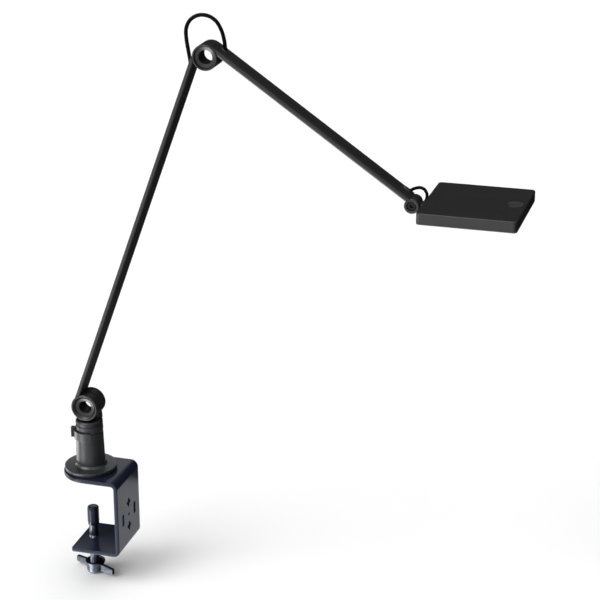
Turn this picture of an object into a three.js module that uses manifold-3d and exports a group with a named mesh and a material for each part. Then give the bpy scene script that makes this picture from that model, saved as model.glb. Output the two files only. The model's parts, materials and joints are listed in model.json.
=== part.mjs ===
// Architect desk lamp: a two-arm LED lamp on a table clamp. Millimetres, +Z up, +X along the arms' reach.
// The origin is on the desk's top face, under the post's axis: the clamp's top jaw rests on z = 0.
import * as THREE from "three";
import Module from "manifold-3d";
import { mergeVertices } from "three/addons/utils/BufferGeometryUtils.js";

const wasm = await Module();
wasm.setup();

// ---------------------------------------------------------------- driving dimensions
const GAP = 0.3; // clearance between pieces that touch or turn on each other

// arms: pivot to pivot, and the angle from vertical, clockwise as seen from the front
const LOWER_LENGTH = 470;
const LOWER_ANGLE = THREE.MathUtils.degToRad(20.1);
const UPPER_LENGTH = 280;
const UPPER_ANGLE = THREE.MathUtils.degToRad(122.7);
const BAR = { width: 28, thickness: 5.2, chamfer: 1.1, cavityWidth: 22, cavityThickness: 3.2 };
const TENON = { thickness: 2.6, reach: 45 };
const BAR_OFFSET = 12.8; // the bar's middle plane from the pivot, at a drum
const BAR_OFFSET_HEAD = 3.6; // the same at the head joint
const BAR_SHORT_OF_ELBOW = 6;

// drums: each is two half-drums side by side on a hollow axle
const DRUM_HALF_WIDTH = 14.5;
const DRUM_SPLIT = 1; // half the space between the two half-drums
const BASE_DRUM_RADIUS = 16.8;
const ELBOW_DRUM_RADIUS = 14.8;
const RIM_CHAMFER = 0.8;
const SLEEVE = { outer: 10.1, inner: 8, halfLength: 9.2 };
const DISH = { rimInset: 1.8, depth: 2.6 };
const LOCK_RING = { radius: 11.9, innerHeight: 0.8 };

// head joint: a short tube along the axis
const TUBE = {
  radius: 8.55, halfWidth: 10.8, innerFace: 4.2,
  bore: 3.1, counterbore: 5.4, counterboreDepth: 5.2,
};
const HEAD_LUG = { radius: 8.25, halfWidth: 3.2 };
const NECK = { top: 2.2, bottom: -5.4 };
const TONGUE = 1.2; // half the thickness of the lug's tongue inside the head
const WASHER = { near: 3.5, far: 3.9, inner: 3.2, outer: 7.6 };

// head: measured from the head joint's axis
const HEAD = { length: 110, width: 120, thickness: 13, left: 15.5, lift: 2.7, corner: 4.5, edge: 0.6 };
const WALL = 2;
const BUTTON = { x: 113.5, radius: 9, travel: 0.7 };

// clamp
const PLATE = 5;
const BRACKET = { width: 72, outerX: 47.5, height: 100, lowerLeft: -16, bendTop: 9, bendBottom: 8 };
const ROUND_END = { radius: 36, centreX: 3 };
const POST = {
  foot: 10.5, top: 64, radiusTop: 16.6, radiusFoot: 17.8,
  bore: 13.3, flange: 32, flangeUnder: 7.5,
};
const CLIP = { inner: 17.2, outer: 19.4, low: 47, high: 58, ribLow: 54.6, ribHigh: 57, grooveRadius: 15 };
const SPIGOT = { radius: 12.1, low: 16 };
const COLLAR = { radius: 16.5, low: 65.6, high: 71 };
const BASE_PIVOT_Z = 90;
const SCREW_CIRCLE = 24;
const SPINDLE = { radius: 6, shank: 5.6, top: -51.5, thread: -86.6, bottom: -135.5 };
const CAP = { radius: 7.2, top: -47.5, bottom: -72.1 };
const KNOB = { radius: 12.4, top: -122.5, bottom: -138, wingReach: 31, wingThickness: 4, turn: -21.9 };

// cables
const ELBOW_CABLE = 4.4;
const HEAD_CABLE = 3.6;
const INNER_CABLE = 2.6;
const CABLE_SIDES = 8;

// sides of a round piece: small fasteners, plain turned pieces, and the large drums and post
const SMALL_ROUND = 12;
const ROUND = 24;
const LARGE_ROUND = 36;

// ---------------------------------------------------------------- materials
function material(color, roughness, metalness) {
  return new THREE.MeshStandardMaterial({ color, roughness, metalness });
}


const blackCoat = material(0x131314, 0.42, 0.2);
const blackPlastic = material(0x17181a, 0.5, 0);
const clampCoat = material(0x11131c, 0.3, 0.3);
const knobMetal = material(0x3a3f46, 0.25, 0.8);
const steel = material(0x8c8f93, 0.3, 1);
const cableRubber = material(0x0c0c0d, 0.6, 0);
const opal = material(0xf2f1ec, 0.5, 0);
const clearGuide = material(0xdfe8ea, 0.1, 0);
const board = material(0x1f4a33, 0.6, 0);
const whiteBoard = material(0xe8e8e4, 0.5, 0);
const bearing = material(0x1c1c1d, 0.5, 0);
const blackSteel = material(0x161617, 0.45, 1);

// ---------------------------------------------------------------- solids
const AXIS_TURNS = { x: [0, Math.PI / 2, 0], y: [-Math.PI / 2, 0, 0], z: [0, 0, 0] };

// A closed three.js geometry as a solid, with its faces pointing out.
function solid(geometry) {
  const bare = new THREE.BufferGeometry();
  bare.setAttribute("position", geometry.getAttribute("position").clone());
  if (geometry.index) bare.setIndex(geometry.index.clone());
  const merged = mergeVertices(bare, 1e-4);
  const position = merged.getAttribute("position");
  const index = merged.index.array;
  const triangles = [];
  const corners = [new THREE.Vector3(), new THREE.Vector3(), new THREE.Vector3()];
  let volume = 0;
  for (let i = 0; i < index.length; i += 3) {
    const [a, b, c] = [index[i], index[i + 1], index[i + 2]];
    if (a === b || b === c || a === c) continue;
    [a, b, c].forEach((vertex, k) => corners[k].fromBufferAttribute(position, vertex));
    volume += corners[0].dot(corners[1].clone().cross(corners[2]));
    triangles.push(a, b, c);
  }
  if (volume < 0) triangles.reverse();
  const mesh = new wasm.Mesh({
    numProp: 3,
    vertProperties: new Float32Array(position.array),
    triVerts: new Uint32Array(triangles),
  });
  return new wasm.Manifold(mesh);
}

function geometryOf(body) {
  const { vertProperties, triVerts } = body.getMesh();
  const geometry = new THREE.BufferGeometry();
  geometry.setAttribute("position", new THREE.BufferAttribute(new Float32Array(vertProperties), 3));
  geometry.setIndex(new THREE.BufferAttribute(new Uint32Array(triVerts), 1));
  return geometry;
}

const join = (first, ...others) => others.reduce((sum, other) => sum.add(other), first);
const cut = (first, ...others) => others.reduce((rest, other) => rest.subtract(other), first);

function box([x0, x1], [y0, y1], [z0, z1]) {
  const geometry = new THREE.BoxGeometry(x1 - x0, y1 - y0, z1 - z0);
  return solid(geometry.translate((x0 + x1) / 2, (y0 + y1) / 2, (z0 + z1) / 2));
}

// A body of revolution about z: profile is a list of [radius, height].
function turned(profile, segments = ROUND) {
  const points = profile.map(([radius, height]) => new THREE.Vector2(radius, height));
  return new THREE.LatheGeometry(points, segments).rotateX(Math.PI / 2);
}

// The same, with the profile's height laid along the named axis through a centre.
function revolve(profile, axis = "z", centre = [0, 0, 0], segments = ROUND) {
  const [turnX, turnY] = AXIS_TURNS[axis];
  return solid(turned(profile, segments).rotateX(turnX).rotateY(turnY).translate(...centre));
}

const rod = (radius, [low, high]) => [[0, low], [radius, low], [radius, high], [0, high]];
function ring(inner, outer, [low, high]) {
  return [[inner, low], [outer, low], [outer, high], [inner, high], [inner, low]];
}

function shapeOf(points) {
  return new THREE.Shape(points.map(([x, y]) => new THREE.Vector2(x, y)));
}

// A shape in the x-z plane, extruded along y between two values.
function extrudeY(shape, [y0, y1], curveSegments = 6) {
  const geometry = new THREE.ExtrudeGeometry(shape, { depth: y1 - y0, bevelEnabled: false, curveSegments });
  return solid(geometry.rotateX(Math.PI / 2).translate(0, y1, 0));
}

// A shape in the x-y plane, extruded upwards between two heights.
function extrudeZ(shape, [z0, z1], curveSegments = 4) {
  const geometry = new THREE.ExtrudeGeometry(shape, { depth: z1 - z0, bevelEnabled: false, curveSegments });
  return solid(geometry.translate(0, 0, z0));
}

function roundedRectangle(halfX, halfY, radius) {
  const shape = new THREE.Shape();
  shape.absarc(halfX - radius, halfY - radius, radius, 0, Math.PI / 2);
  shape.absarc(-halfX + radius, halfY - radius, radius, Math.PI / 2, Math.PI);
  shape.absarc(-halfX + radius, -halfY + radius, radius, Math.PI, Math.PI * 1.5);
  shape.absarc(halfX - radius, -halfY + radius, radius, Math.PI * 1.5, Math.PI * 2);
  shape.closePath();
  return shape;
}

// A round cable along a smooth curve through [x, y, z] points.
function cable(points, diameter, steps) {
  const curve = new THREE.CatmullRomCurve3(points.map((point) => new THREE.Vector3(...point)));
  const section = new THREE.Shape();
  for (let i = 0; i < CABLE_SIDES; i += 1) {
    const angle = (i / CABLE_SIDES) * Math.PI * 2;
    const [u, v] = [Math.cos(angle) * diameter / 2, Math.sin(angle) * diameter / 2];
    if (i === 0) section.moveTo(u, v);
    else section.lineTo(u, v);
  }
  section.closePath();
  return solid(new THREE.ExtrudeGeometry(section, { steps, extrudePath: curve, bevelEnabled: false }));
}

// ---------------------------------------------------------------- assembly
const lamp = new THREE.Group();

function frameAt(position, angle = 0) {
  const group = new THREE.Group();
  group.position.set(...position);
  group.rotation.y = angle;
  lamp.add(group);
  return group;
}

function place(name, body, look, parent = lamp) {
  const mesh = new THREE.Mesh(geometryOf(body), look);
  mesh.name = name;
  parent.add(mesh);
}

const along = ([x, , z], angle, length) => [x + length * Math.sin(angle), 0, z + length * Math.cos(angle)];
const BASE_PIVOT = [0, 0, BASE_PIVOT_Z];
const ELBOW_PIVOT = along(BASE_PIVOT, LOWER_ANGLE, LOWER_LENGTH);
const HEAD_PIVOT = along(ELBOW_PIVOT, UPPER_ANGLE, UPPER_LENGTH);

// ---------------------------------------------------------------- clamp
function bracket() {
  const { width, outerX, height, lowerLeft, bendTop, bendBottom } = BRACKET;
  const top = PLATE;
  const bottom = PLATE - height;
  const left = ROUND_END.centreX - ROUND_END.radius;
  const profile = new THREE.Shape();
  profile.moveTo(left, 0);
  profile.lineTo(left, top);
  profile.absarc(outerX - bendTop, top - bendTop, bendTop, Math.PI / 2, 0, true);
  profile.absarc(outerX - bendBottom, bottom + bendBottom, bendBottom, 0, -Math.PI / 2, true);
  profile.lineTo(lowerLeft, bottom);
  profile.lineTo(lowerLeft, bottom + PLATE);
  profile.absarc(outerX - bendBottom, bottom + bendBottom, bendBottom - PLATE, -Math.PI / 2, 0, false);
  profile.absarc(outerX - bendTop, top - bendTop, bendTop - PLATE, 0, Math.PI / 2, false);
  profile.closePath();
  let body = extrudeY(profile, [-width / 2, width / 2]);

  const endTrim = new THREE.Shape();
  endTrim.moveTo(left - 5, -width);
  endTrim.lineTo(ROUND_END.centreX, -width);
  endTrim.absarc(ROUND_END.centreX, 0, ROUND_END.radius, -Math.PI / 2, Math.PI / 2, true);
  endTrim.lineTo(ROUND_END.centreX, width);
  endTrim.lineTo(left - 5, width);
  endTrim.closePath();
  body = cut(body, extrudeZ(endTrim, [-1, top + 1], 12));

  const wall = [outerX - PLATE - 1, outerX + 1];
  const middle = -52;
  const slotY = 19;
  for (const y of [-slotY, slotY]) {
    body = cut(body, box(wall, [y - 3, y + 3], [middle - 7.5, middle + 7.5]));
  }
  for (const z of [middle - 16, middle + 16]) {
    const across = box(wall, [-5.6, 5.6], [z - 1.9, z + 1.9]);
    const upright = box(wall, [-1.9, 1.9], [z - 5.6, z + 5.6]);
    body = cut(body, across, upright);
  }
  body = cut(body, revolve(rod(2, wall), "x", [0, 0, middle], SMALL_ROUND));
  body = cut(body, revolve(rod(SPINDLE.radius + GAP, [bottom - 1, bottom + PLATE + 1])));
  body = cut(body, ...screwHoles());
  return body;
}

function screwPlaces() {
  return [0, 1, 2].map((i) => {
    const angle = Math.PI / 3 + (i * Math.PI * 2) / 3;
    return [SCREW_CIRCLE * Math.cos(angle), SCREW_CIRCLE * Math.sin(angle)];
  });
}

// A countersunk screw from below; a positive allowance gives the hole that it sits in.
function screwHoles() {
  return screwPlaces().map(([x, y]) => revolve(screwProfile(GAP), "z", [x, y, 0], SMALL_ROUND));
}

function screwProfile(allowance = 0) {
  const foot = allowance ? -1 : 0.2;
  const tip = allowance ? 12 : 9.4;
  const head = 4.6 + allowance;
  const shank = 2.4 + allowance;
  return [[0, foot], [head, foot], [head, 0.6], [shank, 2.8], [shank, tip], [0, tip]];
}

function post() {
  const { foot, top, radiusTop, radiusFoot, bore, flange, flangeUnder } = POST;
  const { ribLow, ribHigh, grooveRadius } = CLIP;
  const outline = [
    [bore, flangeUnder + 4.5], [bore, top - 0.8], [bore + 0.8, top],
    [radiusTop - 0.6, top], [radiusTop, top - 0.6],
    [radiusTop + 0.1, ribHigh + GAP], [grooveRadius, ribHigh + GAP], [grooveRadius, ribLow - GAP],
    [radiusTop + 0.1, ribLow - GAP], [radiusTop + 0.2, CLIP.low - 1], [radiusFoot, foot + 3],
    [radiusFoot + 2.2, foot + 0.4], [flange - 0.8, foot], [flange, foot - 0.8], [flange, flangeUnder],
    [0, flangeUnder], [0, flangeUnder + 4.5], [bore, flangeUnder + 4.5],
  ];
  let body = revolve(outline, "z", [0, 0, 0], LARGE_ROUND);
  body = cut(body, ...screwHoles());
  return body;
}

function baseDisc() {
  let body = revolve(rod(31.4, [PLATE + GAP, POST.flangeUnder - GAP]), "z", [0, 0, 0], LARGE_ROUND);
  body = cut(body, ...screwHoles());
  return body;
}

// The lock clip: an open band with a thumb lug, an end block and a rib that runs in the post's groove.
function lockClip() {
  const { inner, outer, low, high, ribLow, ribHigh, grooveRadius } = CLIP;
  const fromFront = (degrees) => THREE.MathUtils.degToRad(degrees - 90);
  const sector = (r0, r1, start, end) => {
    const shape = new THREE.Shape();
    shape.absarc(0, 0, r1, fromFront(start), fromFront(end), false);
    shape.absarc(0, 0, r0, fromFront(end), fromFront(start), true);
    shape.closePath();
    return shape;
  };
  const band = extrudeZ(sector(inner, outer, -215, 25), [low, high], 16);
  const endBlock = extrudeZ(sector(inner, outer + 0.9, 10, 25), [low - 0.6, high], 2);
  const lug = extrudeZ(sector(inner + 0.5, outer + 3.2, -84, -62), [low + 1, high + 2], 3);
  const rib = extrudeZ(sector(grooveRadius + GAP, inner + 0.5, -200, 20), [ribLow, ribHigh], 16);
  return join(band, endBlock, lug, rib);
}

place("clamp_bracket", bracket(), clampCoat);
place("base_disc", baseDisc(), blackPlastic);
place("clamp_post", post(), blackPlastic);
screwPlaces().forEach(([x, y], i) => {
  place(`post_screw_${i + 1}`, revolve(screwProfile(), "z", [x, y, 0], SMALL_ROUND), steel);
});
place("socket_bush", revolve(ring(SPIGOT.radius + GAP, POST.bore - GAP, [14, POST.top - 1])), bearing);
const washer = ring(SPIGOT.radius + 0.4, 15.8, [POST.top + GAP, COLLAR.low - GAP]);
place("thrust_washer", revolve(washer), bearing);
place("lock_clip", lockClip(), blackPlastic);

// ---------------------------------------------------------------- clamp screw
function pressureCap() {
  const { radius, top, bottom } = CAP;
  const seat = SPINDLE.shank + GAP;
  return revolve([
    [0, top], [radius - 2.4, top], [radius - 0.7, top - 0.8], [radius, top - 2.6], [radius, bottom + 2],
    [radius - 0.7, bottom], [seat, bottom], [seat, SPINDLE.top + GAP], [0, SPINDLE.top + GAP],
  ]);
}

const pinHole = () => revolve(rod(1.8, [-14, 14]), "x", [0, 0, KNOB.bottom + 6], SMALL_ROUND);

function spindle() {
  const { radius, shank, top, thread, bottom } = SPINDLE;
  const body = revolve([
    [0, bottom], [radius - 0.8, bottom], [radius, bottom + 0.8], [radius, thread], [shank, thread + 0.4],
    [shank, top - 0.6], [shank - 0.6, top], [0, top],
  ]);
  return cut(body, pinHole());
}

function wingKnob() {
  const { radius, top, bottom, wingReach, wingThickness } = KNOB;
  const bore = SPINDLE.radius + GAP;
  const hub = revolve([
    [bore, top - 1.6], [radius - 2.6, top - 1.6], [radius - 1.4, top],
    [radius - 0.4, top], [radius, top - 0.8], [radius, top - 3.4],
    [radius - 0.9, top - 4.2], [radius - 1.6, bottom + 2], [radius - 3, bottom], [bore, bottom],
    [bore, top - 1.6],
  ]);
  const outline = shapeOf([
    [radius - 4, top - 2.6], [wingReach - 1, top - 3.8], [wingReach, top - 4.8],
    [wingReach, top - 10.6], [wingReach - 1, top - 11.6], [radius - 4, top - 12.8],
  ]);
  const wing = extrudeY(outline, [-wingThickness / 2, wingThickness / 2]);
  return cut(join(hub, wing, wing.rotate(0, 0, 180)), pinHole());
}

const knobPin = () => revolve(rod(1.5, [-9.4, 9.4]), "x", [0, 0, KNOB.bottom + 6], SMALL_ROUND);

const screwFrame = new THREE.Group();
screwFrame.rotation.z = THREE.MathUtils.degToRad(KNOB.turn);
lamp.add(screwFrame);
place("pressure_cap", pressureCap(), clampCoat);
place("clamp_spindle", spindle(), knobMetal, screwFrame);
place("wing_knob", wingKnob(), knobMetal, screwFrame);
place("knob_pin", knobPin(), knobMetal, screwFrame);

// ---------------------------------------------------------------- drums
// A half-drum: side is -1 at the front and +1 at the back. Its outer face is dished down to the lock ring.
function halfDrum(radius, side) {
  const face = DRUM_HALF_WIDTH;
  const seat = LOCK_RING.radius;
  const bore = SLEEVE.outer + GAP;
  const profile = [
    [bore, DRUM_SPLIT], [radius, DRUM_SPLIT], [radius, face - RIM_CHAMFER], [radius - RIM_CHAMFER, face],
    [radius - DISH.rimInset, face], [seat + GAP, face - DISH.depth], [seat + GAP, SLEEVE.halfLength],
    [bore, SLEEVE.halfLength], [bore, DRUM_SPLIT],
  ];
  return revolve(mirrored(profile, side), "y", [0, 0, 0], LARGE_ROUND);
}

const mirrored = (profile, side) => profile.map(([radius, height]) => [radius, height * side]);

function axleSleeve() {
  const { outer, inner, halfLength } = SLEEVE;
  return revolve(ring(inner, outer, [-halfLength, halfLength]), "y");
}

function lockRing(side) {
  const back = SLEEVE.halfLength + GAP;
  const front = DRUM_HALF_WIDTH - DISH.depth - GAP;
  const profile = [
    [SLEEVE.inner, back], [LOCK_RING.radius, back], [LOCK_RING.radius, front],
    [SLEEVE.inner, back + LOCK_RING.innerHeight],
    [SLEEVE.inner, back],
  ];
  return revolve(mirrored(profile, side), "y");
}

function frictionDisc(radius) {
  return revolve(ring(SLEEVE.outer + GAP, radius - 1.2, [-DRUM_SPLIT + GAP, DRUM_SPLIT - GAP]), "y");
}

function drumCutter(radius, z) {
  return revolve(rod(radius + GAP, [-30, 30]), "y", [0, 0, z], LARGE_ROUND);
}

// ---------------------------------------------------------------- arm bars
// A flat hollow bar in an arm's own frame: z along the pivots' line, -x on the outer side.
function barSection(width, thickness, chamfer) {
  const [w, t] = [width / 2, thickness / 2];
  return [
    [-t + chamfer, -w], [t - chamfer, -w], [t, -w + chamfer], [t, w - chamfer],
    [t - chamfer, w], [-t + chamfer, w], [-t, w - chamfer], [-t, -w + chamfer],
  ];
}

function barTube([z0, z1]) {
  const shape = shapeOf(barSection(BAR.width, BAR.thickness, BAR.chamfer));
  const hole = barSection(BAR.cavityWidth, BAR.cavityThickness, 0.2);
  shape.holes.push(new THREE.Path(hole.map(([x, y]) => new THREE.Vector2(x, y))));
  return extrudeZ(shape, [z0, z1]);
}

// Moves a solid from a bar's own axis to its place beside the pivots' line.
function alongBar(body, startOffset, endOffset, length) {
  const lean = THREE.MathUtils.radToDeg(Math.atan2(startOffset - endOffset, length));
  return body.rotate(0, lean, 0).translate(-startOffset, 0, 0);
}

function tenon([y0, y1], [z0, z1]) {
  return box([-TENON.thickness / 2, TENON.thickness / 2], [y0, y1], [z0, z1]);
}

const FRONT_TENON = [-10.6, -2.4];
const BACK_TENON = [2.4, 10.6];

// A cable gland: an oval plug in a bar's outer wall, with a low collar outside.
// A positive allowance gives its hole.
const COLLAR_HEIGHT = 1;
const FACE = -BAR.thickness / 2;

function glandAt([side, height], diameter, stretch, allowance = 0) {
  const plug = diameter / 2 + 0.7;
  const rim = plug + 0.9;
  const profile = allowance
    ? rod(plug + allowance, [FACE - 3, -0.6])
    : [[0, FACE - COLLAR_HEIGHT], [rim - 0.3, FACE - COLLAR_HEIGHT],
       [rim, FACE - GAP - 0.2], [rim, FACE - GAP],
      [plug, FACE - GAP], [plug, FACE + 0.8], [0, FACE + 0.8]];
  return revolve(profile, "x", [0, 0, 0], SMALL_ROUND).scale([1, 1, stretch]).translate(0, side, height);
}

// ---------------------------------------------------------------- swivel foot
function footCasting() {
  const low = COLLAR.low - BASE_PIVOT_Z;
  const high = COLLAR.high - BASE_PIVOT_Z;
  const collar = revolve([
    [0, low], [COLLAR.radius - 0.6, low], [COLLAR.radius, low + 0.6],
    [COLLAR.radius, high - 1.2], [COLLAR.radius - 1.2, high], [0, high],
  ], "z", [0, 0, 0], LARGE_ROUND);
  const neckOutline = shapeOf([[-13, high - 1], [13, high - 1], [12, -10], [-12, -10]]);
  const neck = cut(extrudeY(neckOutline, [1.6, 12.5]), revolve(rod(BASE_DRUM_RADIUS - 2, [0, 20]), "y"));
  return join(collar, neck, halfDrum(BASE_DRUM_RADIUS, 1));
}

function swivelSpigot() {
  const { radius, low } = SPIGOT;
  const high = COLLAR.low - GAP;
  return revolve([
    [6, low], [radius - 1, low], [radius, low + 1], [radius, 48], [radius - 1.2, 49.2], [radius - 1.2, 52],
    [radius, 53.2], [radius, high], [6, high], [6, low],
  ]);
}

const footFrame = frameAt(BASE_PIVOT);
place("foot_casting", footCasting(), blackCoat, footFrame);
place("swivel_spigot", swivelSpigot(), steel);
place("base_axle_sleeve", axleSleeve(), blackCoat, footFrame);
place("base_friction_disc", frictionDisc(BASE_DRUM_RADIUS), bearing, footFrame);
place("base_lock_ring_front", lockRing(-1), blackCoat, footFrame);
place("base_lock_ring_back", lockRing(1), blackCoat, footFrame);

// ---------------------------------------------------------------- lower arm
const lowerFrame = frameAt(BASE_PIVOT, LOWER_ANGLE);
const LOWER_GLAND = [-2.5, LOWER_LENGTH - 16.5];
function lowerGland(allowance) {
  return glandAt(LOWER_GLAND, ELBOW_CABLE, 1.8, allowance).translate(-BAR_OFFSET, 0, 0);
}

function lowerBar() {
  const tube = barTube([0, LOWER_LENGTH - BAR_SHORT_OF_ELBOW]);
  const blank = alongBar(tube, BAR_OFFSET, BAR_OFFSET, LOWER_LENGTH);
  const cableHole = lowerGland(GAP);
  const drumRooms = [drumCutter(BASE_DRUM_RADIUS, 0), drumCutter(ELBOW_DRUM_RADIUS, LOWER_LENGTH)];
  return cut(blank, ...drumRooms, cableHole);
}

function lowerRootKnuckle() {
  const stem = alongBar(tenon(FRONT_TENON, [9, TENON.reach]), BAR_OFFSET, BAR_OFFSET, LOWER_LENGTH);
  return join(halfDrum(BASE_DRUM_RADIUS, -1), stem);
}

function lowerTipKnuckle() {
  const stem = alongBar(tenon(FRONT_TENON, [-TENON.reach, -6.4]), BAR_OFFSET, BAR_OFFSET, LOWER_LENGTH);
  return join(halfDrum(ELBOW_DRUM_RADIUS, -1), stem);
}

place("lower_arm_bar", lowerBar(), blackCoat, lowerFrame);
place("lower_arm_root_knuckle", lowerRootKnuckle(), blackCoat, lowerFrame);
place("lower_arm_tip_knuckle", lowerTipKnuckle().translate(0, 0, LOWER_LENGTH), blackCoat, lowerFrame);
place(
  "lower_arm_inner_cable",
  revolve(rod(INNER_CABLE / 2, [TENON.reach / 2, LOWER_LENGTH - 22]), "z", [-BAR_OFFSET, 6, 0], CABLE_SIDES),
  cableRubber,
  lowerFrame,
);

// ---------------------------------------------------------------- upper arm
const elbowFrame = frameAt(ELBOW_PIVOT, UPPER_ANGLE);
const upperBeside = (body) => alongBar(body, BAR_OFFSET, BAR_OFFSET_HEAD, UPPER_LENGTH);
const UPPER_GLAND = [2.5, 12.5];
const HEAD_GLAND = [8, UPPER_LENGTH - 14.5];
const upperGland = (allowance) => upperBeside(glandAt(UPPER_GLAND, ELBOW_CABLE, 1.3, allowance));
const headGland = (allowance) => upperBeside(glandAt(HEAD_GLAND, HEAD_CABLE, 1.8, allowance));

function upperBar() {
  const blank = upperBeside(barTube([2, UPPER_LENGTH + 4]));
  const drums = [drumCutter(ELBOW_DRUM_RADIUS, 0), drumCutter(TUBE.radius, UPPER_LENGTH)];
  return cut(blank, ...drums, upperGland(GAP), headGland(GAP));
}

function upperRootKnuckle() {
  return join(halfDrum(ELBOW_DRUM_RADIUS, 1), upperBeside(tenon(BACK_TENON, [7, TENON.reach])));
}

// The tube's two end rings, joined by a tenon that is cut away round the head's lug.
function upperTipFork() {
  const { radius, halfWidth, innerFace, bore, counterbore, counterboreDepth } = TUBE;
  const end = (side) => {
    const step = halfWidth - counterboreDepth;
    const profile = [
      [bore, innerFace], [radius, innerFace], [radius, halfWidth - 0.6], [radius - 0.6, halfWidth],
      [counterbore, halfWidth], [counterbore, step], [bore, step], [bore, innerFace],
    ];
    return revolve(mirrored(profile, side), "y");
  };
  const stem = upperBeside(tenon([-10.6, 10.6], [UPPER_LENGTH - TENON.reach, UPPER_LENGTH - 5.4]));
  const lugRoom = revolve(rod(radius + GAP, [-innerFace, innerFace]), "y", [0, 0, UPPER_LENGTH]);
  const roomHeights = [UPPER_LENGTH - TENON.reach - 1, UPPER_LENGTH - 11];
  const cableRoom = upperBeside(box([-2, 2], [-11, -5], roomHeights));
  const rings = join(end(-1), end(1)).translate(0, 0, UPPER_LENGTH);
  return join(rings, cut(stem, lugRoom, cableRoom));
}

place("upper_arm_root_knuckle", upperRootKnuckle(), blackCoat, elbowFrame);
place("upper_arm_bar", upperBar(), blackCoat, elbowFrame);
place("upper_arm_tip_fork", upperTipFork(), blackCoat, elbowFrame);
place(
  "upper_arm_inner_cable",
  upperBeside(revolve(rod(INNER_CABLE / 2, [18, UPPER_LENGTH - 19]), "z", [0, -8, 0], CABLE_SIDES)),
  cableRubber,
  elbowFrame,
);
place("elbow_axle_sleeve", axleSleeve(), blackCoat, elbowFrame);
place("elbow_friction_disc", frictionDisc(ELBOW_DRUM_RADIUS), bearing, elbowFrame);
place("elbow_lock_ring_front", lockRing(-1), blackCoat, elbowFrame);
place("elbow_lock_ring_back", lockRing(1), blackCoat, elbowFrame);

// ---------------------------------------------------------------- cable loops and their glands
// Routes as [x, y, z] from the joint's middle. The first and last stretches run into the walls that
// they meet, and are trimmed just clear of the glands. The elbow's two legs lie side by side, so they
// can pass as the joint opens.
const ELBOW_ROUTE = [
  [-18, -2.5, -24], [-19.5, -2.5, -15], [-20.8, -2.5, -5.4], [-22.9, -2.5, 7], [-24.5, -2.5, 18],
  [-24.6, -2.4, 28.2], [-21.4, -1.8, 36.6], [-15.2, -0.8, 42.3], [-6.9, 0, 44.7], [1.9, 0.8, 43.2],
  [9.4, 1.8, 37.8], [14.4, 2.4, 29.2], [17.1, 2.5, 21], [18.6, 2.5, 12.5], [19.2, 2.5, 4],
];
const HEAD_ROUTE = [
  [-11.5, 8, 5], [-8.2, 8, 10], [-4.6, 8, 13.1], [0, 8, 15.5], [5.3, 8, 16.7], [9.7, 8, 15.3],
  [12.4, 8, 12],
  [13.4, 8, 8.2], [12.9, 8, 4.6], [12.5, 8, 1.5],
];

// The room that an arm's bar and its glands take, grown by the gap, from the joint at one of its ends.
function barRoom([z0, z1]) {
  return box([FACE - COLLAR_HEIGHT - GAP, 40], [-20, 20], [z0, z1]);
}

function elbowLoop() {
  const lowerTurn = THREE.MathUtils.radToDeg(LOWER_ANGLE);
  const lowerRoom = barRoom([-80, 0]).translate(-BAR_OFFSET, 0, 0).rotate(0, lowerTurn, 0);
  const upperRoom = upperBeside(barRoom([-4, 80])).rotate(0, THREE.MathUtils.radToDeg(UPPER_ANGLE), 0);
  return cut(cable(ELBOW_ROUTE, ELBOW_CABLE, 28), lowerRoom, upperRoom);
}

function headLoop() {
  const barEnd = upperBeside(barRoom([UPPER_LENGTH - 80, UPPER_LENGTH])).translate(0, 0, -UPPER_LENGTH);
  const neckRoom = box([5, 20], [-20, 20], [-10, NECK.top + GAP]);
  const room = barEnd.rotate(0, THREE.MathUtils.radToDeg(UPPER_ANGLE), 0);
  return cut(cable(HEAD_ROUTE, HEAD_CABLE, 16), room, neckRoom);
}

place("elbow_cable_loop", elbowLoop(), cableRubber, frameAt(ELBOW_PIVOT));
place("head_cable_loop", headLoop(), cableRubber, frameAt(HEAD_PIVOT));
place("lower_arm_cable_gland", lowerGland(), blackPlastic, lowerFrame);
place("upper_arm_cable_gland", upperGland(), blackPlastic, elbowFrame);
place("head_cable_gland", headGland(), blackPlastic, elbowFrame);

// ---------------------------------------------------------------- head joint
const headFrame = frameAt(HEAD_PIVOT);
const NECK_SCREW = [12.2, -4.4, 0];

function tiltScrew() {
  const head = TUBE.halfWidth - 1.2;
  const shank = TUBE.bore - GAP;
  return revolve([
    [0, -head + 2], [2, -head + 2], [2, -head], [4.8, -head], [5, -head + 0.4], [5, -TUBE.halfWidth + 4.9],
    [shank, -TUBE.halfWidth + 4.9], [shank, 9.6], [0, 9.6],
  ], "y");
}

function tiltNut() {
  const hexagon = revolve(rod(5, [TUBE.halfWidth - 4.9, TUBE.halfWidth - 1.4]), "y", [0, 0, 0], 6);
  return cut(hexagon, revolve(rod(TUBE.bore, [0, 20]), "y"));
}

function headKnuckle() {
  const { radius, halfWidth } = HEAD_LUG;
  const lug = revolve(rod(radius, [-halfWidth, halfWidth]), "y");
  const web = box([4, 11], [-halfWidth, halfWidth], [NECK.bottom, NECK.top]);
  const block = box([9.4, HEAD.left - GAP], [-8, 12], [NECK.bottom, NECK.top]);
  const tongue = box([HEAD.left - 1, HEAD.left + 5.5], [-5.6, 5.6], [-TONGUE, TONGUE]);
  const screwRoom = revolve(rod(1.9, [0.4, 4]), "z", NECK_SCREW, SMALL_ROUND);
  return cut(join(lug, web, block, tongue), revolve(rod(TUBE.bore, [-20, 20]), "y"), screwRoom);
}

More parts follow.
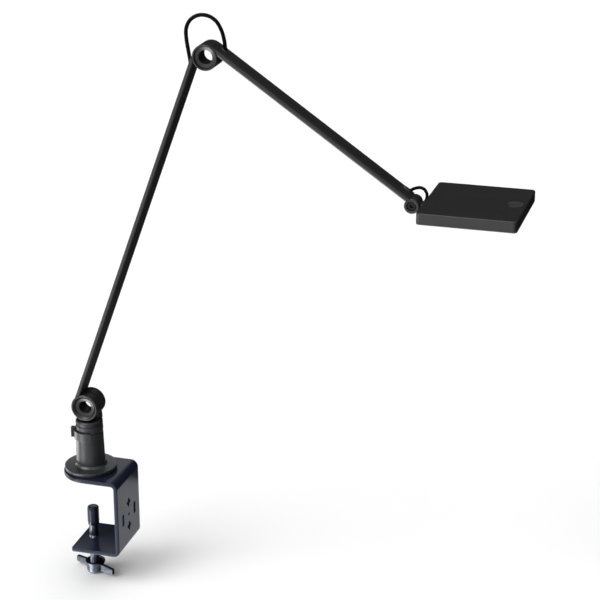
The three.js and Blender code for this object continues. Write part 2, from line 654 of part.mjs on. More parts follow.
place("head_knuckle", headKnuckle(), blackCoat, headFrame);
place("neck_screw", revolve(rod(1.6, [0.7, 2.6]), "z", NECK_SCREW, SMALL_ROUND), steel, headFrame);
place("tilt_screw", tiltScrew(), blackSteel, headFrame);
place("tilt_nut", tiltNut(), blackSteel, headFrame);
for (const [name, side] of [["front", -1], ["back", 1]]) {
  const profile = mirrored(ring(WASHER.inner, WASHER.outer, [WASHER.near, WASHER.far]), side);
  place(`tilt_washer_${name}`, revolve(profile, "y"), bearing, headFrame);
}

// ---------------------------------------------------------------- head
// The head's own frame: x from its middle, z from its middle plane.
const middleX = HEAD.left + HEAD.length / 2;
const lampHead = new THREE.Group();
lampHead.position.set(HEAD_PIVOT[0] + middleX, 0, HEAD_PIVOT[2] + HEAD.lift);
lamp.add(lampHead);
const TOP = HEAD.thickness / 2;
const [HALF_X, HALF_Y] = [HEAD.length / 2, HEAD.width / 2];
const BEZEL = { high: -TOP + 1.3, border: 8 };
const buttonX = BUTTON.x - middleX;

function housing() {
  const { corner, edge } = HEAD;
  const slab = extrudeZ(roundedRectangle(HALF_X, HALF_Y, corner), [BEZEL.high + GAP, TOP - edge]);
  const crownOutline = roundedRectangle(HALF_X - edge, HALF_Y - edge, corner - edge);
  const crown = extrudeZ(crownOutline, [TOP - edge - 0.1, TOP]);
  const inside = [HALF_X - WALL, HALF_Y - WALL];
  const cavity = box([-inside[0], inside[0]], [-inside[1], inside[1]], [-TOP - 1, TOP - 1.8]);
  const buttonHole = revolve(rod(BUTTON.radius + GAP, [0, TOP + 1]), "z", [buttonX, 0, 0]);
  const tongueSlot = [-TONGUE - GAP - HEAD.lift, TONGUE + GAP - HEAD.lift];
  const tongueHole = box([-HALF_X - 1, -HALF_X + WALL + 1], [-6, 6], tongueSlot);
  const turned = (profile) => ([x, y]) => revolve(profile, "z", [x, y, 0], SMALL_ROUND);
  const posts = bezelScrewPlaces().map(turned(rod(2.6, [-3.9, TOP - 1])));
  const holes = bezelScrewPlaces().map(turned(rod(1.3, [-6, 1.4])));
  return cut(join(cut(join(slab, crown), cavity, buttonHole, tongueHole), ...posts), ...holes);
}

function bezelScrewPlaces() {
  const [x, y] = [HALF_X - 5.2, HALF_Y - 5.2];
  return [[-x, -y], [x, -y], [x, y], [-x, y]];
}

function bezel() {
  const outer = extrudeZ(roundedRectangle(HALF_X, HALF_Y, HEAD.corner), [-TOP, BEZEL.high]);
  const opening = [HALF_X - BEZEL.border, HALF_Y - BEZEL.border];
  const window = extrudeZ(roundedRectangle(...opening, 2), [-TOP - 1, BEZEL.high + 1]);
  const holes = bezelScrewPlaces().map(([x, y]) => revolve(rod(1.3, [-8, 0]), "z", [x, y, 0], SMALL_ROUND));
  return cut(outer, window, ...holes);
}

const panel = (insetX, insetY, range) => {
  return extrudeZ(roundedRectangle(HALF_X - insetX, HALF_Y - insetY, 1.5), range);
};

const BUTTON_UNDER = TOP - 3;

function buttonSwitch() {
  const top = BUTTON_UNDER - BUTTON.travel - GAP;
  return box([buttonX - 4, buttonX + 4], [-4, 4], [0.2, top]);
}

function buttonCap() {
  const face = TOP + 0.1;
  return revolve([
    [0, BUTTON_UNDER], [BUTTON.radius + 1, BUTTON_UNDER],
    [BUTTON.radius + 1, TOP - 2.1], [BUTTON.radius, TOP - 2.1],
    [BUTTON.radius, face - 0.4], [BUTTON.radius - 0.4, face], [0, face],
  ], "z", [buttonX, 0, 0]);
}

place("head_housing", housing(), blackCoat, lampHead);
place("head_bezel", bezel(), blackPlastic, lampHead);
place("diffuser", panel(6.8, 7.2, [-4.9, -3.1]), opal, lampHead);
place("light_guide", panel(9.5, 10.7, [-2.8, -0.8]), clearGuide, lampHead);
place("reflector_sheet", panel(9.5, 10.7, [-0.5, -0.1]), whiteBoard, lampHead);
place("led_board", box([HALF_X - 9.1, HALF_X - 7.9], [-45, 45], [-2.8, -0.2]), whiteBoard, lampHead);
place("driver_board", box([-34, 22], [-22, 22], [0.2, 1.4]), board, lampHead);
place("button_switch", buttonSwitch(), blackPlastic, lampHead);
place("button_cap", buttonCap(), blackPlastic, lampHead);
bezelScrewPlaces().forEach(([x, y], i) => {
  place(`bezel_screw_${i + 1}`, revolve(rod(1, [-6.3, 0.8]), "z", [x, y, 0], SMALL_ROUND), steel, lampHead);
});

export default lamp;
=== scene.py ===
"""Architect desk lamp: the finished looks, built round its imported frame.

Pieces are shaped in millimetres and stored in metres. +Z is up and +X is the way the arms reach.
A shell is a pair of lists, points and faces. Angles are in degrees.
"""

import json
import math

import bmesh
import bpy
from mathutils import Matrix, Vector
from mathutils.geometry import tessellate_polygon


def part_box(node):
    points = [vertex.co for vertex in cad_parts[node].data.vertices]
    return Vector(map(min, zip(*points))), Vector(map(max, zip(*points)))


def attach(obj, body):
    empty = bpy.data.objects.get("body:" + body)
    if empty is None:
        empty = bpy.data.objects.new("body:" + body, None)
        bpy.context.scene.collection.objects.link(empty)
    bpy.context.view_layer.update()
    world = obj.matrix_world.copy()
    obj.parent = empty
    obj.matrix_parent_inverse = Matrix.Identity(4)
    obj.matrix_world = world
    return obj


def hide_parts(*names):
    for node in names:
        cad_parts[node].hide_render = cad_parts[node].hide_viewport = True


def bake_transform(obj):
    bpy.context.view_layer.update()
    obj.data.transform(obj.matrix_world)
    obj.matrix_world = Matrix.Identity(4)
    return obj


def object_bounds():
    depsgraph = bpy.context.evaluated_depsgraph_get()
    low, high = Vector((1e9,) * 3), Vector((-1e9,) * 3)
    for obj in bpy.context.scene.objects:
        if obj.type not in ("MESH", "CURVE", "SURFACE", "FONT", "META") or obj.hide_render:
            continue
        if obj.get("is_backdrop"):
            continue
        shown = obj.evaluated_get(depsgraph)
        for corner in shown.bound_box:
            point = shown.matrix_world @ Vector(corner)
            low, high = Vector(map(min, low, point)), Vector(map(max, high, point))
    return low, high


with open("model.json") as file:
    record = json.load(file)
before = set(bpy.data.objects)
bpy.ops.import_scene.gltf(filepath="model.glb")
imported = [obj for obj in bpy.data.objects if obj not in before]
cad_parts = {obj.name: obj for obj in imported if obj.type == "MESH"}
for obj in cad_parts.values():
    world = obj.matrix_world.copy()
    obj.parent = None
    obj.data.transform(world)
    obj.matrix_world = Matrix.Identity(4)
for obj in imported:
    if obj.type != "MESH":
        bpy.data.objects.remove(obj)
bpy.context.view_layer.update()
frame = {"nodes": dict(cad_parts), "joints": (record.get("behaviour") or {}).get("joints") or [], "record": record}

MM = 0.001
GAP = 0.3  # clearance between pieces that touch or turn on each other

# ---- places, from the frame


def joint_point(name):
    joint = next(joint for joint in frame["joints"] if joint["name"] == name)
    return Vector(joint["pos_m"]) / MM


def span(node):
    """A CAD node's lowest and highest corners, in millimetres."""
    low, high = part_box(node)
    return low / MM, high / MM


def axis_of(node):
    """Where an upright axis through a CAD node's middle stands."""
    low, high = span(node)
    return (low.x + high.x) / 2, (low.y + high.y) / 2, 0


def from_vertical(start, end):
    return math.degrees(math.atan2(end.x - start.x, end.z - start.z))


def turned_frame(origin, angle=0.0):
    return Matrix.Translation(origin) @ Matrix.Rotation(math.radians(angle), 4, "Y")


BASE = joint_point("lower_arm_tilt")
ELBOW = joint_point("elbow_tilt")
HEAD = joint_point("head_tilt")
LOWER_ANGLE = from_vertical(BASE, ELBOW)
UPPER_ANGLE = from_vertical(ELBOW, HEAD)
LOWER_LENGTH = (ELBOW - BASE).length
UPPER_LENGTH = (HEAD - ELBOW).length

FOOT_FRAME = turned_frame(BASE)
LOWER_FRAME = turned_frame(BASE, LOWER_ANGLE)
LOWER_TIP_FRAME = turned_frame(ELBOW, LOWER_ANGLE)
UPPER_FRAME = turned_frame(ELBOW, UPPER_ANGLE)
HEAD_FRAME = turned_frame(HEAD)

# ---- camera
CAMERA_AZIMUTH, CAMERA_ELEVATION = 16.17, 18.8
CAMERA_DISTANCE = 2104
CAMERA_CENTRE = Vector((267, 0, 331))  # the point that it stands round
CAMERA_AIM_DROP = 78  # it looks this far below that point, to take the clamp in
FIELD_OF_VIEW = 18.3


def from_side(azimuth, elevation):
    """The direction to a side: the azimuth counts from the front, anticlockwise from above."""
    turn, rise = math.radians(azimuth), math.radians(elevation)
    level = math.cos(rise)
    return Vector((math.sin(turn) * level, -math.cos(turn) * level, math.sin(rise)))


def added(name, data):
    """A new object in the scene."""
    thing = bpy.data.objects.new(name, data)
    bpy.context.scene.collection.objects.link(thing)
    return thing


def make_camera():
    data = bpy.data.cameras.new("camera")
    data.angle = math.radians(FIELD_OF_VIEW)
    data.clip_start, data.clip_end = 0.1, 50
    camera = added("camera", data)
    place = CAMERA_CENTRE + from_side(CAMERA_AZIMUTH, CAMERA_ELEVATION) * CAMERA_DISTANCE
    aim = CAMERA_CENTRE - Vector((0, 0, CAMERA_AIM_DROP)) - place
    camera.location = place * MM
    camera.rotation_euler = aim.to_track_quat("-Z", "Y").to_euler()
    bpy.context.scene.camera = camera


make_camera()

# ---- materials


def new_node(nodes, kind, **numbers):
    """A shader node with these numbers in its sockets; an underscore stands for a space in their names."""
    node = nodes.new(f"ShaderNode{kind}")
    for socket, number in numbers.items():
        node.inputs[socket.replace("_", " ")].default_value = number
    return node


class Look:
    """A procedural material: a Principled shader with helpers for its noise, colour and relief."""

    def __init__(self, slot, color, roughness, metallic=0.0, sockets=()):
        self.slot, self.color, self.roughness = slot, color, roughness
        self.material = bpy.data.materials.new(slot)
        self.material.use_nodes = True
        self.nodes, self.links = self.material.node_tree.nodes, self.material.node_tree.links
        self.shader = self.nodes["Principled BSDF"]
        self.shader.inputs["Base Color"].default_value = (*color, 1)
        self.shader.inputs["Roughness"].default_value = roughness
        self.shader.inputs["Metallic"].default_value = metallic
        for socket, value in dict(sockets).items():
            self.shader.inputs[socket].default_value = value
        self.place = new_node(self.nodes, "TexCoord").outputs["Object"]

    def noise(self, size_mm, detail=3.0, stretch=(1, 1, 1)):
        """A noise value whose blotches are about size_mm across."""
        mapping = new_node(self.nodes, "Mapping", Scale=stretch)
        texture = new_node(self.nodes, "TexNoise", Scale=1 / (size_mm * MM), Detail=detail)
        self.links.new(self.place, mapping.inputs["Vector"])
        self.links.new(mapping.outputs["Vector"], texture.inputs["Vector"])
        return texture.outputs["Fac"]

    def spread(self, value, low, high):
        """The value, which is about 0.3 to 0.7, spread over low to high."""
        spread = new_node(self.nodes, "MapRange", From_Min=0.3, From_Max=0.7, To_Min=low, To_Max=high)
        self.links.new(value, spread.inputs["Value"])
        return spread.outputs["Result"]

    def mottle(self, value, share):
        """Lets the colour vary by this share of itself either way."""
        mix = new_node(self.nodes, "Mix")
        mix.data_type = "RGBA"
        for socket, factor in (("A", 1 - share), ("B", 1 + share)):
            mix.inputs[socket].default_value = (*(channel * factor for channel in self.color), 1)
        self.links.new(self.spread(value, 0, 1), mix.inputs["Factor"])
        self.links.new(mix.outputs["Result"], self.shader.inputs["Base Color"])
        return self

    def gloss(self, value, share):
        """Lets the roughness vary by this share of itself either way."""
        low, high = self.roughness * (1 - share), self.roughness * (1 + share)
        self.links.new(self.spread(value, low, high), self.shader.inputs["Roughness"])
        return self

    def relief(self, value, height_mm, strength):
        """Raises the surface by the value, up to height_mm."""
        bump = new_node(self.nodes, "Bump", Strength=strength, Distance=height_mm * MM)
        self.links.new(value, bump.inputs["Height"])
        self.links.new(bump.outputs["Normal"], self.shader.inputs["Normal"])
        return self


def powder_coat():
    """Satin black powder coat on the arms and the head: a fine even grain."""
    look = Look("arm_coat", (0.0125, 0.0125, 0.0135), 0.36, sockets={"Specular IOR Level": 0.42})
    grain = look.noise(0.5, 2.0)
    return look.mottle(look.noise(35), 0.08).gloss(grain, 0.12).relief(grain, 0.012, 0.4)


def enamel():
    """Smooth blue-black enamel on the clamp's bent steel, with a trace of orange peel."""
    sockets = {"Specular IOR Level": 0.3, "Specular Tint": (0.72, 0.8, 1, 1)}
    look = Look("clamp_coat", (0.008, 0.0105, 0.022), 0.2, sockets=sockets)
    look.mottle(look.noise(60), 0.1).gloss(look.noise(22), 0.08)
    return look.relief(look.noise(3.5, 1.0), 0.01, 0.25)


def moulded(name, color, roughness):
    """Moulded plastic with a fine spark-eroded texture."""
    look = Look(name, color, roughness, sockets={"Specular IOR Level": 0.45})
    texture = look.noise(0.3)
    return look.mottle(look.noise(30), 0.08).gloss(texture, 0.12).relief(texture, 0.012, 0.4)


def turned_metal(name, color, roughness):
    """Metal with fine lines left by turning, which run round the z axis."""
    look = Look(name, color, roughness, 1.0)
    lines = look.noise(4, 5.0, (1, 1, 40))
    return look.mottle(look.noise(6), 0.2).gloss(lines, 0.3).relief(lines, 0.01, 0.4)


def plated():
    """Bright plating on a die casting: softly uneven under the shine."""
    look = Look("knob_metal", (0.085, 0.095, 0.12), 0.28, 1.0)
    return look.mottle(look.noise(5), 0.15).gloss(look.noise(3), 0.3).relief(look.noise(2.5), 0.05, 0.4)


def sheath():
    """The cable's smooth rubber sheath."""
    look = Look("cable_rubber", (0.0025, 0.0025, 0.003), 0.4, sockets={"Specular IOR Level": 0.04})
    fine = look.noise(0.5)
    return look.mottle(look.noise(8), 0.2).gloss(fine, 0.15).relief(fine, 0.01, 0.4)


def opal_sheet():
    """The diffuser: an opal sheet with a fine prismatic surface."""
    look = Look("opal", (0.86, 0.86, 0.83), 0.35, sockets={"Subsurface Weight": 0.1})
    prisms = look.noise(0.8, 0.0)
    return look.mottle(look.noise(40), 0.02).gloss(prisms, 0.15).relief(prisms, 0.08, 0.6)


def clear_acrylic():
    look = Look("clear_guide", (0.9, 0.94, 0.95), 0.08, sockets={"Transmission Weight": 0.9, "IOR": 1.49})
    return look.mottle(look.noise(30), 0.02).relief(look.noise(12), 0.03, 0.3)


def printed_board(name, color):
    look = Look(name, color, 0.45)
    return look.mottle(look.noise(3), 0.1).gloss(look.noise(1.2), 0.2).relief(look.noise(0.9), 0.02, 0.4)


MATERIALS = (
    powder_coat(),
    enamel(),
    moulded("clamp_plastic", (0.016, 0.017, 0.02), 0.32),
    moulded("trim_plastic", (0.026, 0.026, 0.028), 0.38),
    moulded("bearing", (0.016, 0.016, 0.0165), 0.5),
    turned_metal("steel", (0.42, 0.43, 0.45), 0.3),
    turned_metal("dark_steel", (0.13, 0.14, 0.17), 0.28),
    turned_metal("black_screw", (0.02, 0.02, 0.022), 0.4),
    plated(),
    sheath(),
    opal_sheet(),
    clear_acrylic(),
    printed_board("white_sheet", (0.8, 0.8, 0.78)),
    printed_board("circuit_board", (0.015, 0.09, 0.045)),
)
LOOKS = {look.slot: look.material for look in MATERIALS}
SLOT_OF = {part["node"]: part["material_slot"] for part in frame["record"]["subparts"]}
BODY_OF = {node: body for body, nodes in frame["record"]["behaviour"]["bodies"].items() for node in nodes}

# ---- outlines: lists of [x, y], anticlockwise


def arc(centre, radius, start, end, steps):
    angles = (math.radians(start + (end - start) * i / steps) for i in range(steps + 1))
    return [Vector((centre[0] + radius * math.cos(a), centre[1] + radius * math.sin(a))) for a in angles]


def circle(centre, radius, steps=48):
    return arc(centre, radius, 0, 360 - 360 / steps, steps - 1)


def rounded(points, radius, steps=3, closed=True):
    """The outline with each corner turned into a small arc that starts this far from it."""
    result = []
    count = len(points)
    for i, point in enumerate(points):
        corner = Vector(point)
        if not closed and i in (0, count - 1):
            result.append(corner)
            continue
        before, after = Vector(points[i - 1]) - corner, Vector(points[(i + 1) % count]) - corner
        reach = min(radius, 0.45 * before.length, 0.45 * after.length)
        start, end = corner + before.normalized() * reach, corner + after.normalized() * reach
        for k in range(steps + 1):
            t = k / steps
            result.append(start * (1 - t) ** 2 + corner * 2 * t * (1 - t) + end * t**2)
    return result


def rectangle(x0, x1, y0, y1, radius=0.0, steps=4):
    corners = [(x1, y1), (x0, y1), (x0, y0), (x1, y0)]
    if not radius:
        return [Vector(corner) for corner in corners]
    signs = [(-1, -1), (1, -1), (1, 1), (-1, 1)]
    result = []
    for i, ((x, y), (u, v)) in enumerate(zip(corners, signs)):
        result += arc((x + u * radius, y + v * radius), radius, 90 * i, 90 * i + 90, steps)
    return result


def inset(outline, distance):
    """The outline moved inwards, or outwards for a negative distance."""
    result = []
    count = len(outline)
    for i, point in enumerate(outline):
        before = (point - outline[i - 1]).normalized()
        after = (outline[(i + 1) % count] - point).normalized()
        inward = Vector((-before.y - after.y, before.x + after.x)).normalized()
        lean = max(0.4, inward.dot(Vector((-before.y, before.x))))
        result.append(point + inward * distance / lean)
    return result


# ---- shells


def bridge(low, high):
    """Faces between two rings of point numbers; a ring of one point is a pole."""
    if len(low) == 1 and len(high) == 1:
        return []
    count = max(len(low), len(high))
    faces = []
    for i in range(count):
        j = (i + 1) % count
        if len(low) == 1:
            faces.append((low[0], high[j], high[i]))
        elif len(high) == 1:
            faces.append((low[i], low[j], high[0]))
        else:
            faces.append((low[i], low[j], high[j], high[i]))
    return faces


def raised(outline, height):
    return [Vector((point.x, point.y, height)) for point in outline]


def add_wall(points, faces, rings):
    """Adds a wall through rings of points, each as long as the next, and returns each ring's numbers."""
    rows = []
    for ring in rings:
        rows.append(list(range(len(points), len(points) + len(ring))))
        points += [Vector(point) for point in ring]
    for low, high in zip(rows, rows[1:]):
        faces += bridge(low, high)
    return rows


def stacked(rings, ends=True):
    """A shell through rings of points, with flat ends or closed on itself."""
    points, faces = [], []
    rows = add_wall(points, faces, rings)
    if ends:
        faces += [tuple(row) for row in (rows[0], rows[-1]) if len(row) > 1]
    else:
        faces += bridge(rows[-1], rows[0])
    return points, faces


def flat_sided(angle, flats):
    """How much further than its flats a regular polygon reaches in a direction."""
    part = 2 * math.pi / flats
    return 1 / math.cos((angle + part / 2) % part - part / 2)


def revolve(profile, axis="z", centre=(0, 0, 0), sides=96):
    """A body of revolution. The profile is [radius, height] points, or [radius, height, flats] for a polygon;
    it runs from axis to axis, or ends where it starts."""
    ring_shaped = tuple(profile[0]) == tuple(profile[-1])
    rings = []
    for radius, height, *flats in profile[:-1] if ring_shaped else profile:
        if radius < 1e-6:
            rings.append([(0, 0, height)])
            continue
        ring = []
        for i in range(sides):
            angle = 2 * math.pi * i / sides
            reach = radius * (flat_sided(angle, flats[0]) if flats else 1)
            ring.append((reach * math.cos(angle), reach * math.sin(angle), height))
        rings.append(ring)
    return moved(stacked(rings, ends=not ring_shaped), Matrix.Translation(centre) @ LAID[axis])


LAID = {
    "x": Matrix.Rotation(math.radians(90), 4, "Y"),
    "y": Matrix.Rotation(math.radians(-90), 4, "X"),
    "z": Matrix.Identity(4),
}


def rod(radius, low, high):
    """A plain rod's profile."""
    return [(0, low), (radius, low), (radius, high), (0, high)]


def ring_profile(inner, outer, low, high, edge=0.3):
    """A ring's closed profile, with rounded edges."""
    profile = rounded([(inner, low), (outer, low), (outer, high), (inner, high)], edge)
    return profile + profile[:1]


def softened(profile, edge, steps=3):
    """A turned profile with its corners rounded: from axis to axis, or closed."""
    closed = tuple(profile[0]) == tuple(profile[-1])
    result = rounded(profile[:-1] if closed else profile, edge, steps, closed)
    return result + result[:1] if closed else result


def moved(shell, matrix):
    points, faces = shell
    return [matrix @ point for point in points], faces


def edge_steps(low, high, edge, steps=3):
    """Inset and height of each ring up a slab's side, with a rounded edge at both ends."""
    if not edge:
        return [(0, low), (0, high)]
    turns = [math.pi / 2 * i / steps for i in range(steps + 1)]
    lower = [(edge * (1 - math.sin(turn)), low + edge * (1 - math.cos(turn))) for turn in turns]
    return lower + [(share, low + high - height) for share, height in reversed(lower)]


def filled(points, rows):
    """Triangles between a loop of point numbers and the loops inside it."""
    numbers = [number for row in rows for number in row]
    loops = [[points[number] for number in row] for row in rows]
    return [tuple(numbers[i] for i in triangle) for triangle in tessellate_polygon(loops)]


def slab(outline, low, high, edge=0.0, holes=(), hole_edge=0.0):
    """An outline with holes, extruded upwards, with rounded edges."""
    points, faces, ends = [], [], [[], []]
    for number, loop in enumerate([outline, *holes]):
        steps = edge_steps(low, high, hole_edge if number else edge)
        rings = [raised(inset(loop, -share if number else share), height) for share, height in steps]
        rows = add_wall(points, faces, rings)
        ends[0].append(rows[0])
        ends[1].append(rows[-1])
    for rows in ends:
        faces += filled(points, rows)
    return points, faces


def upright(shell):
    """Turns a slab drawn in x and y so that it is drawn in x and z, and extruded along y."""
    points, faces = shell
    return [Vector((point.x, point.z, point.y)) for point in points], faces


def block(low, high, edge=0.4):
    (x0, y0, z0), (x1, y1, z1) = low, high
    return slab(rectangle(x0, x1, y0, y1, edge, 3), z0, z1, edge)


def mesh_from(shell, name):
    """A mesh in metres, its faces pointing out."""
    points, faces = shell
    mesh = bpy.data.meshes.new(name)
    mesh.from_pydata([point * MM for point in points], [], faces)
    work = bmesh.new()
    work.from_mesh(mesh)
    bmesh.ops.remove_doubles(work, verts=work.verts, dist=1e-7)
    bmesh.ops.recalc_face_normals(work, faces=work.faces)
    work.to_mesh(mesh)
    work.free()
    return mesh


def carved(operation, *shells):
    """The first shell, joined with or cut by each of the others in turn."""
    made = [added("carving", mesh_from(shell, "carving")) for shell in shells]
    for thing in made[1:]:
        modifier = made[0].modifiers.new(operation, "BOOLEAN")
        modifier.operation, modifier.object, modifier.solver = operation, thing, "EXACT"
    mesh = bpy.data.meshes.new_from_object(made[0].evaluated_get(bpy.context.evaluated_depsgraph_get()))
    result = [vertex.co / MM for vertex in mesh.vertices], [tuple(face.vertices) for face in mesh.polygons]
    for used in [mesh, *(thing.data for thing in made)]:
        bpy.data.meshes.remove(used)  # takes the object that shows it as well
    return result


def united(*shells):
    return carved("UNION", *shells)


def cut(*shells):
    return carved("DIFFERENCE", *shells)


CREASE = 32  # an edge sharper than this, in degrees, isn't smoothed


def dress(thing, slot):
    """Smooth shading with crisp edges, and the slot with its material."""
    mesh = thing.data
    mesh.shade_smooth()
    mesh.set_sharp_from_angle(angle=math.radians(CREASE))
    mesh.materials.append(LOOKS[slot])
    thing.modifiers.new("even_shading", "WEIGHTED_NORMAL").keep_sharp = True


def piece(name, shell, node, place=None):
    """A finished piece that stands for a CAD node, in that node's body and material slot."""
    thing = added(name, mesh_from(moved(shell, place) if place else shell, name))
    dress(thing, SLOT_OF[node])
    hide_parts(node)
    if BODY_OF[node]:
        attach(thing, BODY_OF[node])
    return thing


# ---- cable loops
# Routes from each joint's middle; the first and last stretches lie inside the walls that they enter.
ELBOW_ROUTE = [
    (-18, -2.5, -24), (-19.5, -2.5, -15), (-20.8, -2.5, -5.4), (-22.9, -2.5, 7), (-24.5, -2.5, 18),
    (-24.6, -2.4, 28.2), (-21.4, -1.8, 36.6), (-15.2, -0.8, 42.3), (-6.9, 0, 44.7), (1.9, 0.8, 43.2),
    (9.4, 1.8, 37.8), (14.4, 2.4, 29.2), (17.1, 2.5, 21), (18.6, 2.5, 12.5), (19.2, 2.5, 4),
]
HEAD_ROUTE = [
    (-11.5, 8, 5), (-8.2, 8, 10), (-4.6, 8, 13.1), (0, 8, 15.5), (5.3, 8, 16.7), (9.7, 8, 15.3),
    (12.4, 8, 12), (13.4, 8, 8.2), (12.9, 8, 4.6), (12.5, 8, 1.5),
]
ELBOW_CABLE, HEAD_CABLE = 4.4, 3.6  # thickness
ELBOW_SWEEP, HEAD_SWEEP = (200, 25), (129, 20)  # where each leaves and enters, round its joint from +X


def smooth_path(points, steps=8):
    """A Catmull-Rom curve through the points, from the second to the last."""
    padded = [*points, points[-1] * 2 - points[-2]]
    path = []
    for p0, p1, p2, p3 in zip(padded, padded[1:], padded[2:], padded[3:]):
        for k in range(steps):
            t = k / steps
            straight, square, cube = p2 - p0, p0 * 2 - p1 * 5 + p2 * 4 - p3, p1 * 3 - p0 - p2 * 3 + p3
            path.append((p1 * 2 + straight * t + square * (t * t) + cube * t**3) / 2)
    return [*path, points[-1]]


def tube(path, radius, sides=20):
    """A round tube along a path, with flat ends."""
    rings, side = [], Vector((0, 1, 0))
    for i, point in enumerate(path):
        ahead = (path[min(i + 1, len(path) - 1)] - path[max(i - 1, 0)]).normalized()
        side = (side - ahead * side.dot(ahead)).normalized()
        up = ahead.cross(side)
        angles = (2 * math.pi * k / sides for k in range(sides))
        rings.append([point + (side * math.cos(a) + up * math.sin(a)) * radius for a in angles])
    return stacked(rings)


def bend_round(thing, joint, sweep):
    """Works out how far round the joint each point of the cable has come, as a share from the body that it leaves
    to the one that it enters; every point is then put back where it was, and the shares are not kept.
    """
    leaves, enters = sweep
    vertices = thing.data.vertices
    at_rest = [vertex.co.copy() for vertex in vertices]
    for vertex, place in zip(vertices, at_rest):
        out = place / MM - joint
        angle = math.degrees(math.atan2(out.z, out.x)) % 360
        share = min(1, max(0, (leaves - angle) / (leaves - enters)))
        vertex.co = (0.5 - math.sin(math.asin(1 - 2 * share) / 3), 0, 0)
    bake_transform(thing)
    for vertex, place in zip(vertices, at_rest):
        vertex.co = place
    thing.data.update()


def cable_loop(node, joint, route, diameter, sweep):
    """A cable that leaves one arm, loops over a joint and goes into the next piece."""
    path = smooth_path([joint + Vector(point) for point in route])
    thing = added(f"{node}_sheath", mesh_from(tube(path, diameter / 2), node))
    dress(thing, "cable_rubber")
    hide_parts(node)
    bend_round(thing, joint, sweep)


cable_loop("elbow_cable_loop", ELBOW, ELBOW_ROUTE, ELBOW_CABLE, ELBOW_SWEEP)
cable_loop("head_cable_loop", HEAD, HEAD_ROUTE, HEAD_CABLE, HEAD_SWEEP)

# ---- clamp
PLATE = 5
CLAMP_EDGE = 0.9
BEND_TOP, BEND_BOTTOM = 9, 8  # outer radii of the bracket's two bends
BEND_STEPS = 12
LOWER_JAW_LEFT = -16
ROUND_END_X = 3
HOLES_BELOW_DESK = 52
SCREW_CIRCLE = 24
POST_TOP = 64
POST_BORE = 13.3


def bent_plate():
    """The clamp's bracket: a flat sheet with its holes, bent twice. Along the sheet, zero is where the jaw's
    bend starts; the sheet's height is how deep a point lies under the outer face."""
    low, high = span("clamp_bracket")
    outer_x, top, bottom, half_width = high.x, high.z, low.z, high.y
    jaw_end = outer_x - BEND_TOP
    first_bend = math.pi / 2 * (BEND_TOP - PLATE / 2)
    wall_end = first_bend + top - bottom - BEND_TOP - BEND_BOTTOM
    second_bend = math.pi / 2 * (BEND_BOTTOM - PLATE / 2)
    foot_start = wall_end + second_bend
    foot_edge = outer_x - BEND_BOTTOM
    foot_end = foot_start + foot_edge - LOWER_JAW_LEFT

    round_end = arc((ROUND_END_X - jaw_end, 0), half_width, 90, 270, 48)
    corners = arc((foot_end - 3, 3 - half_width), 3, 270, 360, 6)
    corners += arc((foot_end - 3, half_width - 3), 3, 0, 90, 6)
    middle = first_bend + (top - BEND_TOP) + HOLES_BELOW_DESK
    holes = [circle((foot_start + foot_edge, 0), 6.3), circle((middle, 0), 2, 24)]
    holes += [rectangle(middle - 7.5, middle + 7.5, side - 3, side + 3, 1) for side in (-19, 19)]
    holes += [cross((middle + along, 0)) for along in (-16, 16)]
    holes += [circle((x - jaw_end, y), 4.9, 32) for x, y in screw_places()]
    sheet = slab(round_end + corners, 0, PLATE, CLAMP_EDGE, holes, 0.35)

    def bent(point):
        along, side, depth = point
        if along < first_bend:
            turn = max(0, along / first_bend) * math.pi / 2
            radius = BEND_TOP - depth
            x = jaw_end + min(0, along) + radius * math.sin(turn)
            return Vector((x, side, top - BEND_TOP + radius * math.cos(turn)))
        if along < wall_end:
            return Vector((outer_x - depth, side, top - BEND_TOP - (along - first_bend)))
        turn = min(1, (along - wall_end) / second_bend) * math.pi / 2
        radius = BEND_BOTTOM - depth
        x = foot_edge - max(0, along - foot_start) + radius * math.cos(turn)
        return Vector((x, side, bottom + BEND_BOTTOM - radius * math.sin(turn)))

    bends = ((0, first_bend), (wall_end, second_bend))
    cuts = [start + length * i / BEND_STEPS for start, length in bends for i in range(BEND_STEPS + 1)]
    points, faces = sliced(sheet, cuts)
    return [bent(point) for point in points], faces


def screw_places():
    return [tuple(point) for point in arc((0, 0), SCREW_CIRCLE, 60, 300, 2)]


def cross(centre, reach=5.6, arm=1.9):
    """A plus-shaped outline."""
    points = []
    for c, s in ((1, 0), (0, 1), (-1, 0), (0, -1)):
        for x, y in ((arm, reach), (-arm, reach), (-arm, arm)):
            points.append((centre[0] + x * c - y * s, centre[1] + x * s + y * c))
    return rounded(points, 0.4, 2)


def sliced(shell, cuts):
    """The shell with its faces cut where x is each of these."""
    points, faces = shell
    mesh = bpy.data.meshes.new("sheet")
    mesh.from_pydata(points, [], faces)
    work = bmesh.new()
    work.from_mesh(mesh)
    for x in cuts:
        everything = [*work.verts, *work.edges, *work.faces]
        bmesh.ops.bisect_plane(work, geom=everything, plane_co=(x, 0, 0), plane_no=(1, 0, 0), dist=1e-5)
    work.verts.index_update()
    cut_points = [vertex.co.copy() for vertex in work.verts]
    cut_faces = [tuple(vertex.index for vertex in face.verts) for face in work.faces]
    work.free()
    bpy.data.meshes.remove(mesh)
    return cut_points, cut_faces


def post_shell():
    """The post, from its socket's floor over the rim and down to the flange."""
    radius_top, radius_foot, flange, under = 16.6, 17.8, 32, 7.5
    profile = [
        (0, under), (flange, under), (flange, 10.5), (radius_foot + 2.4, 10.9), (radius_foot, 13.6),
        (radius_top + 0.25, 45.5), (radius_top + 0.1, 54.2), (15, 54.2), (15, 57.4), (radius_top + 0.1, 57.4),
        (radius_top, POST_TOP), (POST_BORE, POST_TOP), (POST_BORE, 12), (0, 12),
    ]
    return revolve(softened(profile, 0.7), sides=160)


